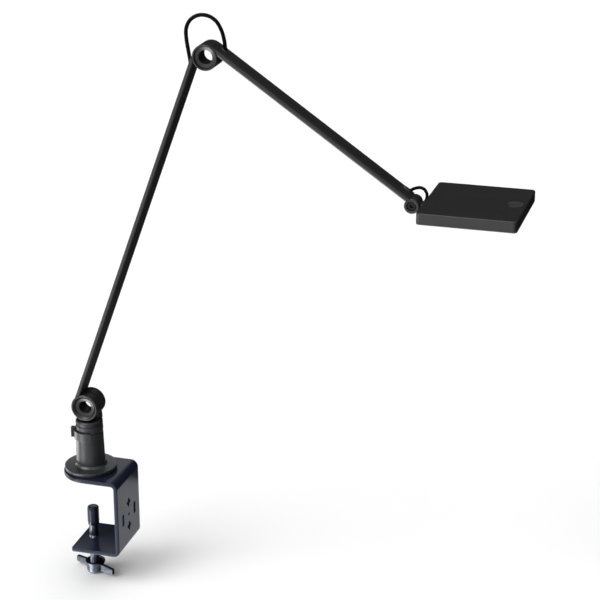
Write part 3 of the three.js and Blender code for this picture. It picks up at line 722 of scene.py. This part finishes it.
def sector(inner, outer, start, end, corner):
    """A part of a ring, its angles counted from the front."""
    steps = max(4, round(abs(end - start) / 4))
    start, end = start - 90, end - 90
    outline = arc((0, 0), outer, start, end, steps) + arc((0, 0), inner, end, start, steps)
    return inset(inset(outline, corner / 2), -corner / 2)


def lock_clip_shell():
    """The clip's band round the post, its thick end block, its thumb lug and the rib in the post's groove."""
    inner, outer, low, high = 17.2, 19.4, 47, 58
    band = slab(sector(inner, outer, -215, 25, 0.2), low, high, 0.5)
    end_block = slab(sector(inner, outer + 1.1, 10, 26, 0.2), low - 0.6, high + 0.2, 0.5)
    lug = slab(sector(inner + 0.5, outer + 3.2, -84, -62, 0.4), low + 1, high + 2, 0.9)
    rib = slab(sector(15.3, inner + 0.5, -200, 20, 0.1), 54.6, 57, 0.2)
    return united(band, end_block, lug, rib)


def countersunk_screw():
    """A countersunk screw seen from below, with a hexagon socket."""
    head, shank, tip = 4.6, 2.4, 9.4
    profile = [
        (0, 2.2), (1.5, 2.2, 6), (1.5, 0.4, 6), (1.7, 0.2, 6), (head - 0.2, 0.2), (head, 0.4), (head, 0.6),
        (shank, 2.8), (shank, tip - 0.4), (shank - 0.4, tip), (0, tip),
    ]
    return revolve(profile, sides=48)


def make_clamp():
    piece("bent_bracket", bent_plate(), "clamp_bracket")
    piece("post_disc", revolve(softened(rod(31.4, 5.3, 7.2), 0.5), sides=160), "base_disc")
    piece("socket_post", post_shell(), "clamp_post")
    piece("locking_clip", lock_clip_shell(), "lock_clip")
    piece("plain_bush", revolve(ring_profile(12.4, 13, 14, POST_TOP - 1)), "socket_bush")
    washer = ring_profile(12.5, 15.8, POST_TOP + GAP, 65.3, 0.2)
    piece("collar_washer", revolve(washer), "thrust_washer")
    for number, (x, y) in enumerate(screw_places(), 1):
        place = Matrix.Translation((x, y, 0))
        piece(f"flange_screw_{number}", countersunk_screw(), f"post_screw_{number}", place)


# ---- clamp screw
THREAD_PITCH, THREAD_DEPTH, THREAD_FADE, THREAD_TOP = 1.75, 0.75, 1.2, -86.6
THREAD_ROWS = 8  # rings of points to a turn of the thread
KNOB_TURN = -21.9
CAP_BOTTOM, CAP_TOP = (corner.z for corner in span("pressure_cap"))
KNOB_BOTTOM, KNOB_TOP = (corner.z for corner in span("wing_knob"))
PIN_PLACE = (0, 0, KNOB_BOTTOM + 6)
PIN_RADIUS, PIN_HALF = 1.5, 9.4


def pressure_cap_shell():
    """The cap: a domed cylinder, a little narrower at its foot, hollow over the shank."""
    radius, foot, bore, high, low = 7.2, 6.7, 5.9, CAP_TOP, CAP_BOTTOM
    profile = [
        (0, high), (4.8, high), (6.6, high - 0.9), (radius, high - 3), (radius, low + 4.1), (foot, low),
        (bore, low), (bore, high - 3.7), (0, high - 3.7),
    ]
    return revolve(softened(profile, 1.0, 4))


def spindle_shell():
    """The spindle: a plain shank, a cut thread that fades out at both ends, and a plain foot in the knob."""
    radius, shank, top, bottom = 6, 5.6, CAP_TOP - 4, KNOB_BOTTOM + 2.5
    thread_bottom = KNOB_BOTTOM + 9
    plain_depth = 0.8 * THREAD_DEPTH  # how deep the spindle is turned down where the thread has faded
    foot = radius - plain_depth
    sides = 64
    count = round((THREAD_TOP - thread_bottom) / THREAD_PITCH * THREAD_ROWS)

    def plain_ring(reach, height):
        return raised(circle((0, 0), reach, sides), height)

    def threaded_ring(height):
        fade = min(1, (height - thread_bottom) / THREAD_FADE, (THREAD_TOP - height) / THREAD_FADE)
        ring = []
        for i, point in enumerate(plain_ring(1, height)):
            share = (height / THREAD_PITCH - i / sides) % 1
            groove = min(1, max(0, 1.35 - abs(share * 2 - 1) * 1.7))
            reach = radius - THREAD_DEPTH * groove * fade - plain_depth * (1 - fade)
            ring.append((point.x * reach, point.y * reach, height))
        return ring

    rings = [[(0, 0, bottom)], plain_ring(foot - 0.4, bottom), plain_ring(foot, bottom + 0.4)]
    step = (THREAD_TOP - thread_bottom) / count
    rings += [threaded_ring(thread_bottom + step * row) for row in range(count + 1)]
    rings += [plain_ring(shank, THREAD_TOP + 0.4), plain_ring(shank, top - 0.6), plain_ring(shank - 0.6, top)]
    return stacked([*rings, [(0, 0, top)]], ends=False)


def wing_knob_shell():
    """The knob: a hub with a flared rim round its recess, and two blunt wings."""
    radius, bore, reach, thickness = 12.4, 6.3, 31, 4.4
    low, high = KNOB_BOTTOM, KNOB_TOP
    hub_profile = [
        (bore, high - 1.6), (radius - 2.8, high - 1.6), (radius - 1.6, high), (radius, high - 0.4),
        (radius, high - 3), (radius - 1.6, high - 4.6), (radius - 1.8, low + 2.6), (radius - 3.4, low),
        (bore, low), (bore, high - 1.6),
    ]
    hub = revolve(softened(hub_profile, 0.8, 4))
    outline = [(radius - 4, high - 13), (reach, high - 11.8), (reach, high - 3.6), (radius - 4, high - 2.4)]
    wing = upright(slab(rounded(outline, 2.0, 5), -thickness / 2, thickness / 2, 1.3))
    other_wing = moved(wing, Matrix.Rotation(math.pi, 4, "Z"))
    return cut(united(hub, wing, other_wing), pin_hole(32))


def pin_hole(sides):
    return revolve(rod(PIN_RADIUS + GAP, -14, 14), "x", PIN_PLACE, sides)


def make_clamp_screw():
    turn = Matrix.Rotation(math.radians(KNOB_TURN), 4, "Z")
    piece("domed_cap", pressure_cap_shell(), "pressure_cap")
    piece("threaded_spindle", cut(spindle_shell(), pin_hole(36)), "clamp_spindle", turn)
    piece("wing_casting", wing_knob_shell(), "wing_knob", turn)
    pin = softened(rod(PIN_RADIUS, -PIN_HALF, PIN_HALF), 0.3)
    piece("cross_pin", revolve(pin, "x", PIN_PLACE, 32), "knob_pin", turn)


make_clamp()
make_clamp_screw()

# ---- drum joints
SIDES = {"front": -1, "back": 1}
DRUM_HALF_WIDTH = 14.5
DRUM_SPLIT = 1  # half the space between the two half-drums
BASE_DRUM, ELBOW_DRUM = 16.8, 14.8
SLEEVE_OUTER, SLEEVE_INNER, SLEEVE_HALF = 10.1, 8, 9.2
LOCK_RING = 11.9
DISH_DEPTH = 2.6


def turned(profile, side, edge, place=(0, 0, 0), sides=144):
    """A body turned round y, with its edges softened; it is mirrored to the front where side is -1."""
    mirrored = [(reach, height * side) for reach, height in profile]
    return revolve(softened(mirrored, edge, 2), "y", place, sides)


def half_drum(radius, side):
    """A half-drum with a chamfered rim and a face dished down to the lock ring."""
    face, seat, bore = DRUM_HALF_WIDTH, LOCK_RING + GAP, SLEEVE_OUTER + GAP
    profile = [
        (bore, DRUM_SPLIT), (radius, DRUM_SPLIT), (radius, face - 0.9), (radius - 0.9, face),
        (radius - 2, face), (seat, face - DISH_DEPTH), (seat, SLEEVE_HALF), (bore, SLEEVE_HALF),
        (bore, DRUM_SPLIT),
    ]
    return turned(profile, side, 0.18)


def lock_ring(side):
    """The ring in a drum's face: it carries the dish on down to the bore."""
    back, front, bore = SLEEVE_HALF + GAP, DRUM_HALF_WIDTH - DISH_DEPTH - GAP, SLEEVE_INNER
    profile = [(bore, back), (LOCK_RING, back), (LOCK_RING, front), (bore, back + 0.8), (bore, back)]
    return turned(profile, side, 0.15)


def sleeve():
    return revolve(ring_profile(SLEEVE_INNER, SLEEVE_OUTER, -SLEEVE_HALF, SLEEVE_HALF), "y", sides=128)


def friction_disc(radius):
    thick = DRUM_SPLIT - GAP
    return revolve(ring_profile(SLEEVE_OUTER + GAP, radius - 1.2, -thick, thick, 0.2), "y", sides=96)


def make_axle(joint, place, radius):
    piece(f"{joint}_hollow_axle", sleeve(), f"{joint}_axle_sleeve", place)
    piece(f"{joint}_brake_disc", friction_disc(radius), f"{joint}_friction_disc", place)
    for name, side in SIDES.items():
        piece(f"{joint}_dish_ring_{name}", lock_ring(side), f"{joint}_lock_ring_{name}", place)


def drum_room(radius, height=0.0):
    """What a bar's end is cut away for."""
    return revolve(rod(radius + GAP, -30, 30), "y", (0, 0, height), 144)


def foot_shell():
    """The foot: a round collar, a neck and the back half of the drum."""
    low, high, radius = 65.6 - BASE.z, 71 - BASE.z, 16.5
    collar = softened([(0, low), (radius, low), (radius, high - 1.4), (radius - 1.4, high), (0, high)], 0.5)
    outline = [(-13, high - 1), (13, high - 1), (12.2, -10), (-12.2, -10)]
    neck = upright(slab([Vector(point) for point in outline], 1.6, 12.5, 0.8))
    neck = cut(neck, revolve(rod(BASE_DRUM - 2, 0, 20), "y", sides=96))
    return united(half_drum(BASE_DRUM, 1), revolve(collar, sides=144), neck)


def spigot_shell():
    radius, bore, low, high = 12.1, 6, 16, 65.3
    profile = [
        (bore, low), (radius, low), (radius, 48), (radius - 1.2, 49.2), (radius - 1.2, 52), (radius, 53.2),
        (radius, high), (bore, high), (bore, low),
    ]
    return revolve(softened(profile, 0.6))


# ---- arms
BAR_WIDTH, BAR_THICKNESS, BAR_ROUND = 28, 5.2, 1.9
GROOVE_HALF, GROOVE_DEPTH = 0.6, 0.7
CAVITY_WIDTH, CAVITY_THICKNESS = 22, 3.2
BAR_OFFSET, BAR_OFFSET_HEAD = 12.8, 3.6
TENON_THICKNESS, TENON_REACH = 2.6, 45
FRONT_TENON, BACK_TENON = (-10.6, -2.4), (2.4, 10.6)
TUBE_RADIUS, TUBE_HALF, TUBE_INNER_FACE, TUBE_BORE = 8.55, 10.8, 4.2, 3.1


def beside(start_offset, end_offset, length):
    """From a bar's own axis to its place beside the line between the pivots."""
    lean = math.atan2(start_offset - end_offset, length)
    return Matrix.Translation((-start_offset, 0, 0)) @ Matrix.Rotation(lean, 4, "Y")


BESIDE_LOWER = beside(BAR_OFFSET, BAR_OFFSET, LOWER_LENGTH)
BESIDE_UPPER = beside(BAR_OFFSET, BAR_OFFSET_HEAD, UPPER_LENGTH)


def bar_shell(low, high):
    """A flat hollow bar with well rounded edges and a shallow groove down its outer face."""
    t, w = BAR_THICKNESS / 2, BAR_WIDTH / 2
    bed = GROOVE_DEPTH - t
    groove = [(-t, GROOVE_HALF), (bed, GROOVE_HALF), (bed, -GROOVE_HALF), (-t, -GROOVE_HALF)]
    outline = rectangle(-t, t, -w, w, BAR_ROUND, 6)
    half = len(outline) // 2
    outline[half:half] = [Vector(point) for point in groove]
    t, w = CAVITY_THICKNESS / 2, CAVITY_WIDTH / 2
    return slab(outline, low, high, holes=[rectangle(-t, t, -w, w, 0.3, 2)])


def tenon(sides, low, high, place):
    t = TENON_THICKNESS / 2
    return moved(block((-t, sides[0], low), (t, sides[1], high)), place)


def gland_ring(diameter):
    """A rubber gland in a bar's outer wall, round the cable."""
    plug = diameter / 2 + 0.7
    rim, wall, hole = plug + 0.9, -BAR_THICKNESS / 2, diameter / 2 + 0.12
    profile = [
        (hole, wall + 0.8), (hole, wall - 0.9), (hole + 0.4, wall - 1), (rim - 0.5, wall - 1),
        (rim, wall - 0.5), (rim, wall - 0.02), (plug, wall), (plug, wall + 0.8), (hole, wall + 0.8),
    ]
    return revolve(softened(profile, 0.15, 2), "x", sides=64)


def gland_room(diameter, place):
    return moved(revolve(rod(diameter / 2 + 0.9, -6, -0.6), "x", sides=48), place)


def gland_place(beside_pivots, stretch, side, height):
    """Where a gland lies along an arm, and how much longer than wide it is."""
    return beside_pivots @ Matrix.Translation((0, side, height)) @ Matrix.Diagonal((1, 1, stretch, 1))


LOWER_GLAND = gland_place(BESIDE_LOWER, 1.8, -2.5, LOWER_LENGTH - 16.5)
UPPER_GLAND = gland_place(BESIDE_UPPER, 1.3, 2.5, 12.5)
HEAD_GLAND = gland_place(BESIDE_UPPER, 1.8, 8, UPPER_LENGTH - 14.5)


def make_lower_arm():
    blank = moved(bar_shell(0, LOWER_LENGTH - 6), BESIDE_LOWER)
    rooms = [drum_room(BASE_DRUM), drum_room(ELBOW_DRUM, LOWER_LENGTH)]
    hole = gland_room(ELBOW_CABLE, LOWER_GLAND)
    piece("lower_bar", cut(blank, *rooms, hole), "lower_arm_bar", LOWER_FRAME)
    root = united(half_drum(BASE_DRUM, -1), tenon(FRONT_TENON, 9, TENON_REACH, BESIDE_LOWER))
    piece("base_drum_front", root, "lower_arm_root_knuckle", LOWER_FRAME)
    tip = united(half_drum(ELBOW_DRUM, -1), tenon(FRONT_TENON, -TENON_REACH, -6.4, BESIDE_LOWER))
    piece("elbow_drum_front", tip, "lower_arm_tip_knuckle", LOWER_TIP_FRAME)
    piece("lower_gland", gland_ring(ELBOW_CABLE), "lower_arm_cable_gland", LOWER_FRAME @ LOWER_GLAND)


def make_upper_arm():
    blank = moved(bar_shell(2, UPPER_LENGTH + 4), BESIDE_UPPER)
    rooms = [drum_room(ELBOW_DRUM), drum_room(TUBE_RADIUS, UPPER_LENGTH)]
    holes = [gland_room(ELBOW_CABLE, UPPER_GLAND), gland_room(HEAD_CABLE, HEAD_GLAND)]
    piece("upper_bar", cut(blank, *rooms, *holes), "upper_arm_bar", UPPER_FRAME)
    root = united(half_drum(ELBOW_DRUM, 1), tenon(BACK_TENON, 7, TENON_REACH, BESIDE_UPPER))
    piece("elbow_drum_back", root, "upper_arm_root_knuckle", UPPER_FRAME)
    piece("cross_tube", cross_tube_shell(), "upper_arm_tip_fork", UPPER_FRAME)
    piece("upper_gland", gland_ring(ELBOW_CABLE), "upper_arm_cable_gland", UPPER_FRAME @ UPPER_GLAND)
    piece("tip_gland", gland_ring(HEAD_CABLE), "head_cable_gland", UPPER_FRAME @ HEAD_GLAND)


def cross_tube_shell():
    """The cross tube's two end rings on one tenon, open between them for the head's lug."""
    bore, radius, inner, outer = TUBE_BORE, TUBE_RADIUS, TUBE_INNER_FACE, TUBE_HALF
    profile = [
        (bore, inner), (radius, inner), (radius, outer - 0.5), (radius - 0.5, outer), (5.9, outer),
        (5.4, outer - 0.5), (5.4, outer - 5.2), (bore, outer - 5.2), (bore, inner),
    ]
    rings = [turned(profile, side, 0.2, (0, 0, UPPER_LENGTH), 96) for side in (-1, 1)]
    stem = tenon((-10.6, 10.6), UPPER_LENGTH - TENON_REACH, UPPER_LENGTH - 6.3, BESIDE_UPPER)
    face = inner + 0.05
    lug_room = revolve(rod(radius + GAP, -face, face), "y", (0, 0, UPPER_LENGTH), 96)
    low, high = UPPER_LENGTH - TENON_REACH - 1, UPPER_LENGTH - 11
    cable_room = moved(slab(rectangle(-2, 2, -11, -5), low, high), BESIDE_UPPER)
    return united(cut(stem, lug_room, cable_room), *rings)


make_axle("base", FOOT_FRAME, BASE_DRUM)
make_axle("elbow", turned_frame(ELBOW), ELBOW_DRUM)
piece("foot_and_drum_back", foot_shell(), "foot_casting", FOOT_FRAME)
piece("spigot", spigot_shell(), "swivel_spigot")
make_lower_arm()
make_upper_arm()

# ---- head joint
NECK_TOP, NECK_BOTTOM = 2.2, -5.4
HEAD_LEFT = 15.5
LUG_RADIUS, LUG_HALF = 8.25, 3.2
NECK_SCREW = (12.2, -4.4, 0)


def lug_shell():
    """The head's lug between the cross tube's rings, its neck, and the tongue that runs into the head."""
    lug = softened(rod(LUG_RADIUS, -LUG_HALF, LUG_HALF), 0.4)
    web = block((4, 0.1 - LUG_HALF, NECK_BOTTOM + 0.15), (11, LUG_HALF - 0.1, NECK_TOP - 0.15), 0.3)
    neck = block((9.4, -8, NECK_BOTTOM), (HEAD_LEFT - GAP, 12, NECK_TOP), 0.6)
    tongue = block((HEAD_LEFT - 1, -5.6, -1.2), (HEAD_LEFT + 5.5, 5.6, 1.2), 0.3)
    bore = revolve(rod(TUBE_BORE, -20, 20), "y", sides=64)
    screw_room = revolve(rod(1.9, 0.4, 4), "z", NECK_SCREW, 32)
    return cut(united(revolve(lug, "y"), web, neck, tongue), bore, screw_room)


def tilt_screw_shell():
    """The tilt screw, deep in the tube's counterbore, with a hexagon socket."""
    head, seat, shank, tip = -9.6, -5.9, 2.8, 9.6
    profile = [
        (0, head + 2.2), (2, head + 2.2, 6), (2, head + 0.2, 6), (2.2, head, 6), (4.6, head), (5, head + 0.4),
        (5, seat), (shank, seat), (shank, tip - 0.4), (shank - 0.4, tip), (0, tip),
    ]
    return revolve(profile, "y", sides=48)


def tilt_nut_shell():
    low, high, flats = 5.9, 9.4, 4.3
    profile = [
        (TUBE_BORE, low), (flats - 0.2, low, 6), (flats, low + 0.3, 6), (flats, high - 0.3, 6),
        (flats - 0.2, high, 6), (TUBE_BORE + 0.3, high), (TUBE_BORE, high - 0.3), (TUBE_BORE, low),
    ]
    return revolve(profile, "y", sides=48)


def neck_screw_shell():
    """A small screw with a square socket."""
    low, high = 0.7, 2.6
    profile = [
        (0, high - 0.7), (0.6, high - 0.7, 4), (0.6, high - 0.1, 4), (1.2, high), (1.6, high - 0.4),
        (1.6, low), (0, low),
    ]
    return revolve(profile, "z", NECK_SCREW, 32)


def make_head_joint():
    piece("head_lug", lug_shell(), "head_knuckle", HEAD_FRAME)
    piece("pivot_screw", tilt_screw_shell(), "tilt_screw", HEAD_FRAME)
    piece("pivot_nut", tilt_nut_shell(), "tilt_nut", HEAD_FRAME)
    piece("neck_set_screw", neck_screw_shell(), "neck_screw", HEAD_FRAME)
    for name, side in SIDES.items():
        low, high = sorted((3.5 * side, 3.9 * side))
        washer = revolve(ring_profile(3.2, 7.6, low, high, 0.12), "y")
        piece(f"friction_washer_{name}", washer, f"tilt_washer_{name}", HEAD_FRAME)


# ---- head
WALL, CEILING = 2, 1.8  # thickness of the housing's sides and top
HEAD_CORNER = 4.5
BUTTON_RADIUS = 9
HOUSING_LOW, HEAD_TOP = span("head_bezel")[1].z + GAP, span("head_housing")[1].z
BEZEL_BORDER = 8
BEZEL_SCREWS = [f"bezel_screw_{number}" for number in range(1, 5)]


def head_outline(inward, corner):
    """The head's rounded rectangle, so far inside its edge."""
    low, high = span("head_bezel")
    return rectangle(low.x + inward, high.x - inward, low.y + inward, high.y - inward, corner, 8)


def capped(wall_loops, hole_loops):
    """An open shell's outside and inside, joined round a hole. Each loop is (outline, height)."""
    points, faces, ends = [], [], []
    for loops in (wall_loops, hole_loops):
        rows = add_wall(points, faces, [raised(*loop) for loop in loops])
        ends.append((rows[0], rows[-1]))
    for row, hole in zip(*ends):
        faces += filled(points, [row, hole])
    return points, faces


def housing_shell():
    """The head's upper shell: a flat top with softly rounded edges, thin walls and the button's hole."""
    edge = 1.3
    turns = [math.pi / 2 * i / 6 for i in range(7)]
    outside = [
        (head_outline(share * edge, HEAD_CORNER - share * edge), HEAD_TOP - edge + edge * rise)
        for share, rise in ((1 - math.sin(turn), math.cos(turn)) for turn in turns)
    ]
    rim = [(head_outline(out, HEAD_CORNER - out), HOUSING_LOW + 0.15 - out) for out in (0, 0.15)]
    inside = [(head_outline(WALL, 1), height) for height in (HOUSING_LOW, HEAD_TOP - CEILING)]
    reach = BUTTON_RADIUS + GAP
    surround = ((2.2, 0), (1.4, 0.08), (0.7, 0.3), (0.15, 0.55), (0, 0.75), (0, CEILING))
    hole = [(circle(axis_of("button_cap"), reach + out, 96), HEAD_TOP - depth) for out, depth in surround]
    shell = capped(outside + rim + inside, hole)
    left = HEAD.x + HEAD_LEFT
    tongue_room = block((left - 1, -6, HEAD.z - 1.5), (left + WALL + 1, 6, HEAD.z + 1.5), 0.2)
    return cut(shell, tongue_room)


def bezel_shell():
    """The frame under the head, with a chamfered window."""
    low, high = span("head_bezel")
    steps = [
        (0.1, high.z), (0, high.z - 0.1), (0, low.z + 0.8), (0.24, low.z + 0.24), (0.8, low.z),
        (BEZEL_BORDER - 0.6, low.z), (BEZEL_BORDER, low.z + 0.6), (BEZEL_BORDER, high.z),
    ]
    rings = [raised(head_outline(inward, max(HEAD_CORNER - inward, 1.5)), height) for inward, height in steps]
    hole = rod(1.3, low.z - 1, high.z + 1)
    holes = [revolve(hole, "z", axis_of(node), 36) for node in BEZEL_SCREWS]
    return cut(stacked(rings, ends=False), *holes)


def panel_shell(node):
    low, high = span(node)
    return slab(rectangle(low.x, high.x, low.y, high.y, 1.5, 6), low.z, high.z, 0.2)


def button_shell():
    """The button: a flanged cap whose face is very slightly dished."""
    low, high = span("button_cap")
    under, flange, radius, face = low.z, low.z + 0.9, BUTTON_RADIUS, high.z
    dish, dish_radius = 0.35, 0.78 * radius
    bowl = [(dish_radius * share, face - dish * (1 - share**2)) for share in (i / 8 for i in range(9))]
    profile = bowl + [
        (radius - 0.5, face), (radius - 0.12, face - 0.12), (radius, face - 0.5), (radius, flange),
        (radius + 0.8, flange), (radius + 0.8, under), (0, under),
    ]
    return revolve(profile, "z", axis_of("button_cap"), 96)


def bezel_screw_shell(node):
    low, high = span(node)
    profile = [
        (0, low.z + 0.6), (0.45, low.z + 0.6, 6), (0.45, low.z, 6), (0.85, low.z), (1, low.z + 0.15),
        (1, high.z - 0.2), (0.8, high.z), (0, high.z),
    ]
    return revolve(profile, "z", axis_of(node), 24)


def make_head():
    piece("head_shell", housing_shell(), "head_housing")
    piece("head_frame", bezel_shell(), "head_bezel")
    piece("opal_panel", panel_shell("diffuser"), "diffuser")
    piece("acrylic_panel", panel_shell("light_guide"), "light_guide")
    piece("touch_button", button_shell(), "button_cap")
    for number, node in enumerate(BEZEL_SCREWS, 1):
        piece(f"frame_screw_{number}", bezel_screw_shell(node), node)


make_head_joint()
make_head()

# ---- the CAD nodes that stay
for node, thing in frame["nodes"].items():
    if not thing.hide_render:
        thing.data.materials.clear()
        thing.data.materials.append(LOOKS[SLOT_OF[node]])

# ---- floor, light and background
FLOOR_SIZE = 60  # metres
CLAMP_PIECES = bpy.data.collections.new("clamp_pieces")  # what the cards light
STUDIO_BRIGHT_SIDE = Vector((-0.55, -0.5, -0.6)).normalized()
STUDIO_DARK, STUDIO_BRIGHT = 0.012, 1.5
STUDIO_FADE = -0.25, 0.95  # from all dark to all bright, as the cosine of the angle to the bright side
SPOT_SIDE = Vector((-0.49, -0.5, -0.71)).normalized()
SPOT_REACH, SPOT_BRIGHT = 27, 14  # the reach in degrees from the spot's middle


def make_floor(height):
    half = FLOOR_SIZE / 2
    corners = raised(rectangle(-half, half, -half, half), height)
    mesh = bpy.data.meshes.new("floor")
    mesh.from_pydata(corners, [], [(0, 1, 2, 3)])
    floor = added("floor", mesh)
    look = Look("floor", (0.86, 0.86, 0.86), 0.9, sockets={"Specular IOR Level": 0.1})
    mesh.materials.append(look.mottle(look.noise(900), 0.01).material)
    floor.visible_glossy = False  # gloss shows the studio below, as on a glass table
    floor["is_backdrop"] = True


def distant_light(name, azimuth, elevation, strength, width):
    """A light as wide as this many degrees, from very far off at this side."""
    data = bpy.data.lights.new(name, "SUN")
    data.energy, data.angle = strength, math.radians(width)
    added(name, data).rotation_euler = (-from_side(azimuth, elevation)).to_track_quat("-Z", "Y").to_euler()


def card(name, centre, width, height, glow, turn=0):
    """An upright glowing card that only the clamp's gloss shows. It faces the front, or is turned
    anticlockwise from there, as seen from above."""
    data = bpy.data.lights.new(name, "AREA")
    data.shape, data.size, data.size_y = "RECTANGLE", width * MM, height * MM
    data.energy = glow * math.pi * data.size * data.size_y
    light = added(name, data)
    light.location = Vector(centre) * MM
    light.rotation_euler = (math.radians(-90), 0, math.radians(turn))
    light.visible_camera = light.visible_diffuse = False
    light.light_linking.receiver_collection = CLAMP_PIECES


def make_world():
    """What the gloss reflects: a studio that is bright at the left, in front and below, with a small brighter
    spot there, and dark elsewhere. The camera itself sees it white."""
    world = bpy.data.worlds.new("studio")
    world.use_nodes = True
    nodes, links = world.node_tree.nodes, world.node_tree.links
    background = nodes["Background"]
    direction = new_node(nodes, "TexCoord").outputs["Generated"]

    def ramp(value, start, end, low, high):
        fade = new_node(nodes, "MapRange", From_Min=start, From_Max=end, To_Min=low, To_Max=high)
        fade.interpolation_type = "SMOOTHSTEP"
        links.new(value, fade.inputs["Value"])
        return fade.outputs["Result"]

    def towards(side):
        nearness = new_node(nodes, "VectorMath")
        nearness.operation = "DOT_PRODUCT"
        nearness.inputs[1].default_value = side
        links.new(direction, nearness.inputs[0])
        return nearness.outputs["Value"]

    def greater(a, b):
        node = new_node(nodes, "Math")
        node.operation = "MAXIMUM"
        links.new(a, node.inputs[0])
        links.new(b, node.inputs[1])
        return node.outputs["Value"]

    studio = ramp(towards(STUDIO_BRIGHT_SIDE), *STUDIO_FADE, STUDIO_DARK, STUDIO_BRIGHT)
    spot = ramp(towards(SPOT_SIDE), math.cos(math.radians(SPOT_REACH)), 1, 0, SPOT_BRIGHT)
    camera_ray = new_node(nodes, "LightPath").outputs["Is Camera Ray"]
    links.new(greater(greater(studio, spot), camera_ray), background.inputs["Strength"])
    background.inputs["Color"].default_value = (1, 1, 1, 1)
    bpy.context.scene.world = world


make_floor(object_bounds()[0].z - 0.0005)
make_world()
distant_light("key", -38, 48, 1.9, 38)
distant_light("fill", 25, 62, 1.35, 80)
distant_light("back", 165, 70, 0.9, 60)
for name in ("bent_bracket", "post_disc", "socket_post", "locking_clip", "domed_cap", "threaded_spindle"):
    CLAMP_PIECES.objects.link(bpy.data.objects[name])
card("low_card", (160, 210, -235), 240, 240, 0.8)
card("high_card", (-55, 210, 90), 210, 90, 0.9)
card("left_card", (-260, 50, -20), 200, 170, 3.5, 90)
bpy.context.scene.view_settings.view_transform = "Standard"
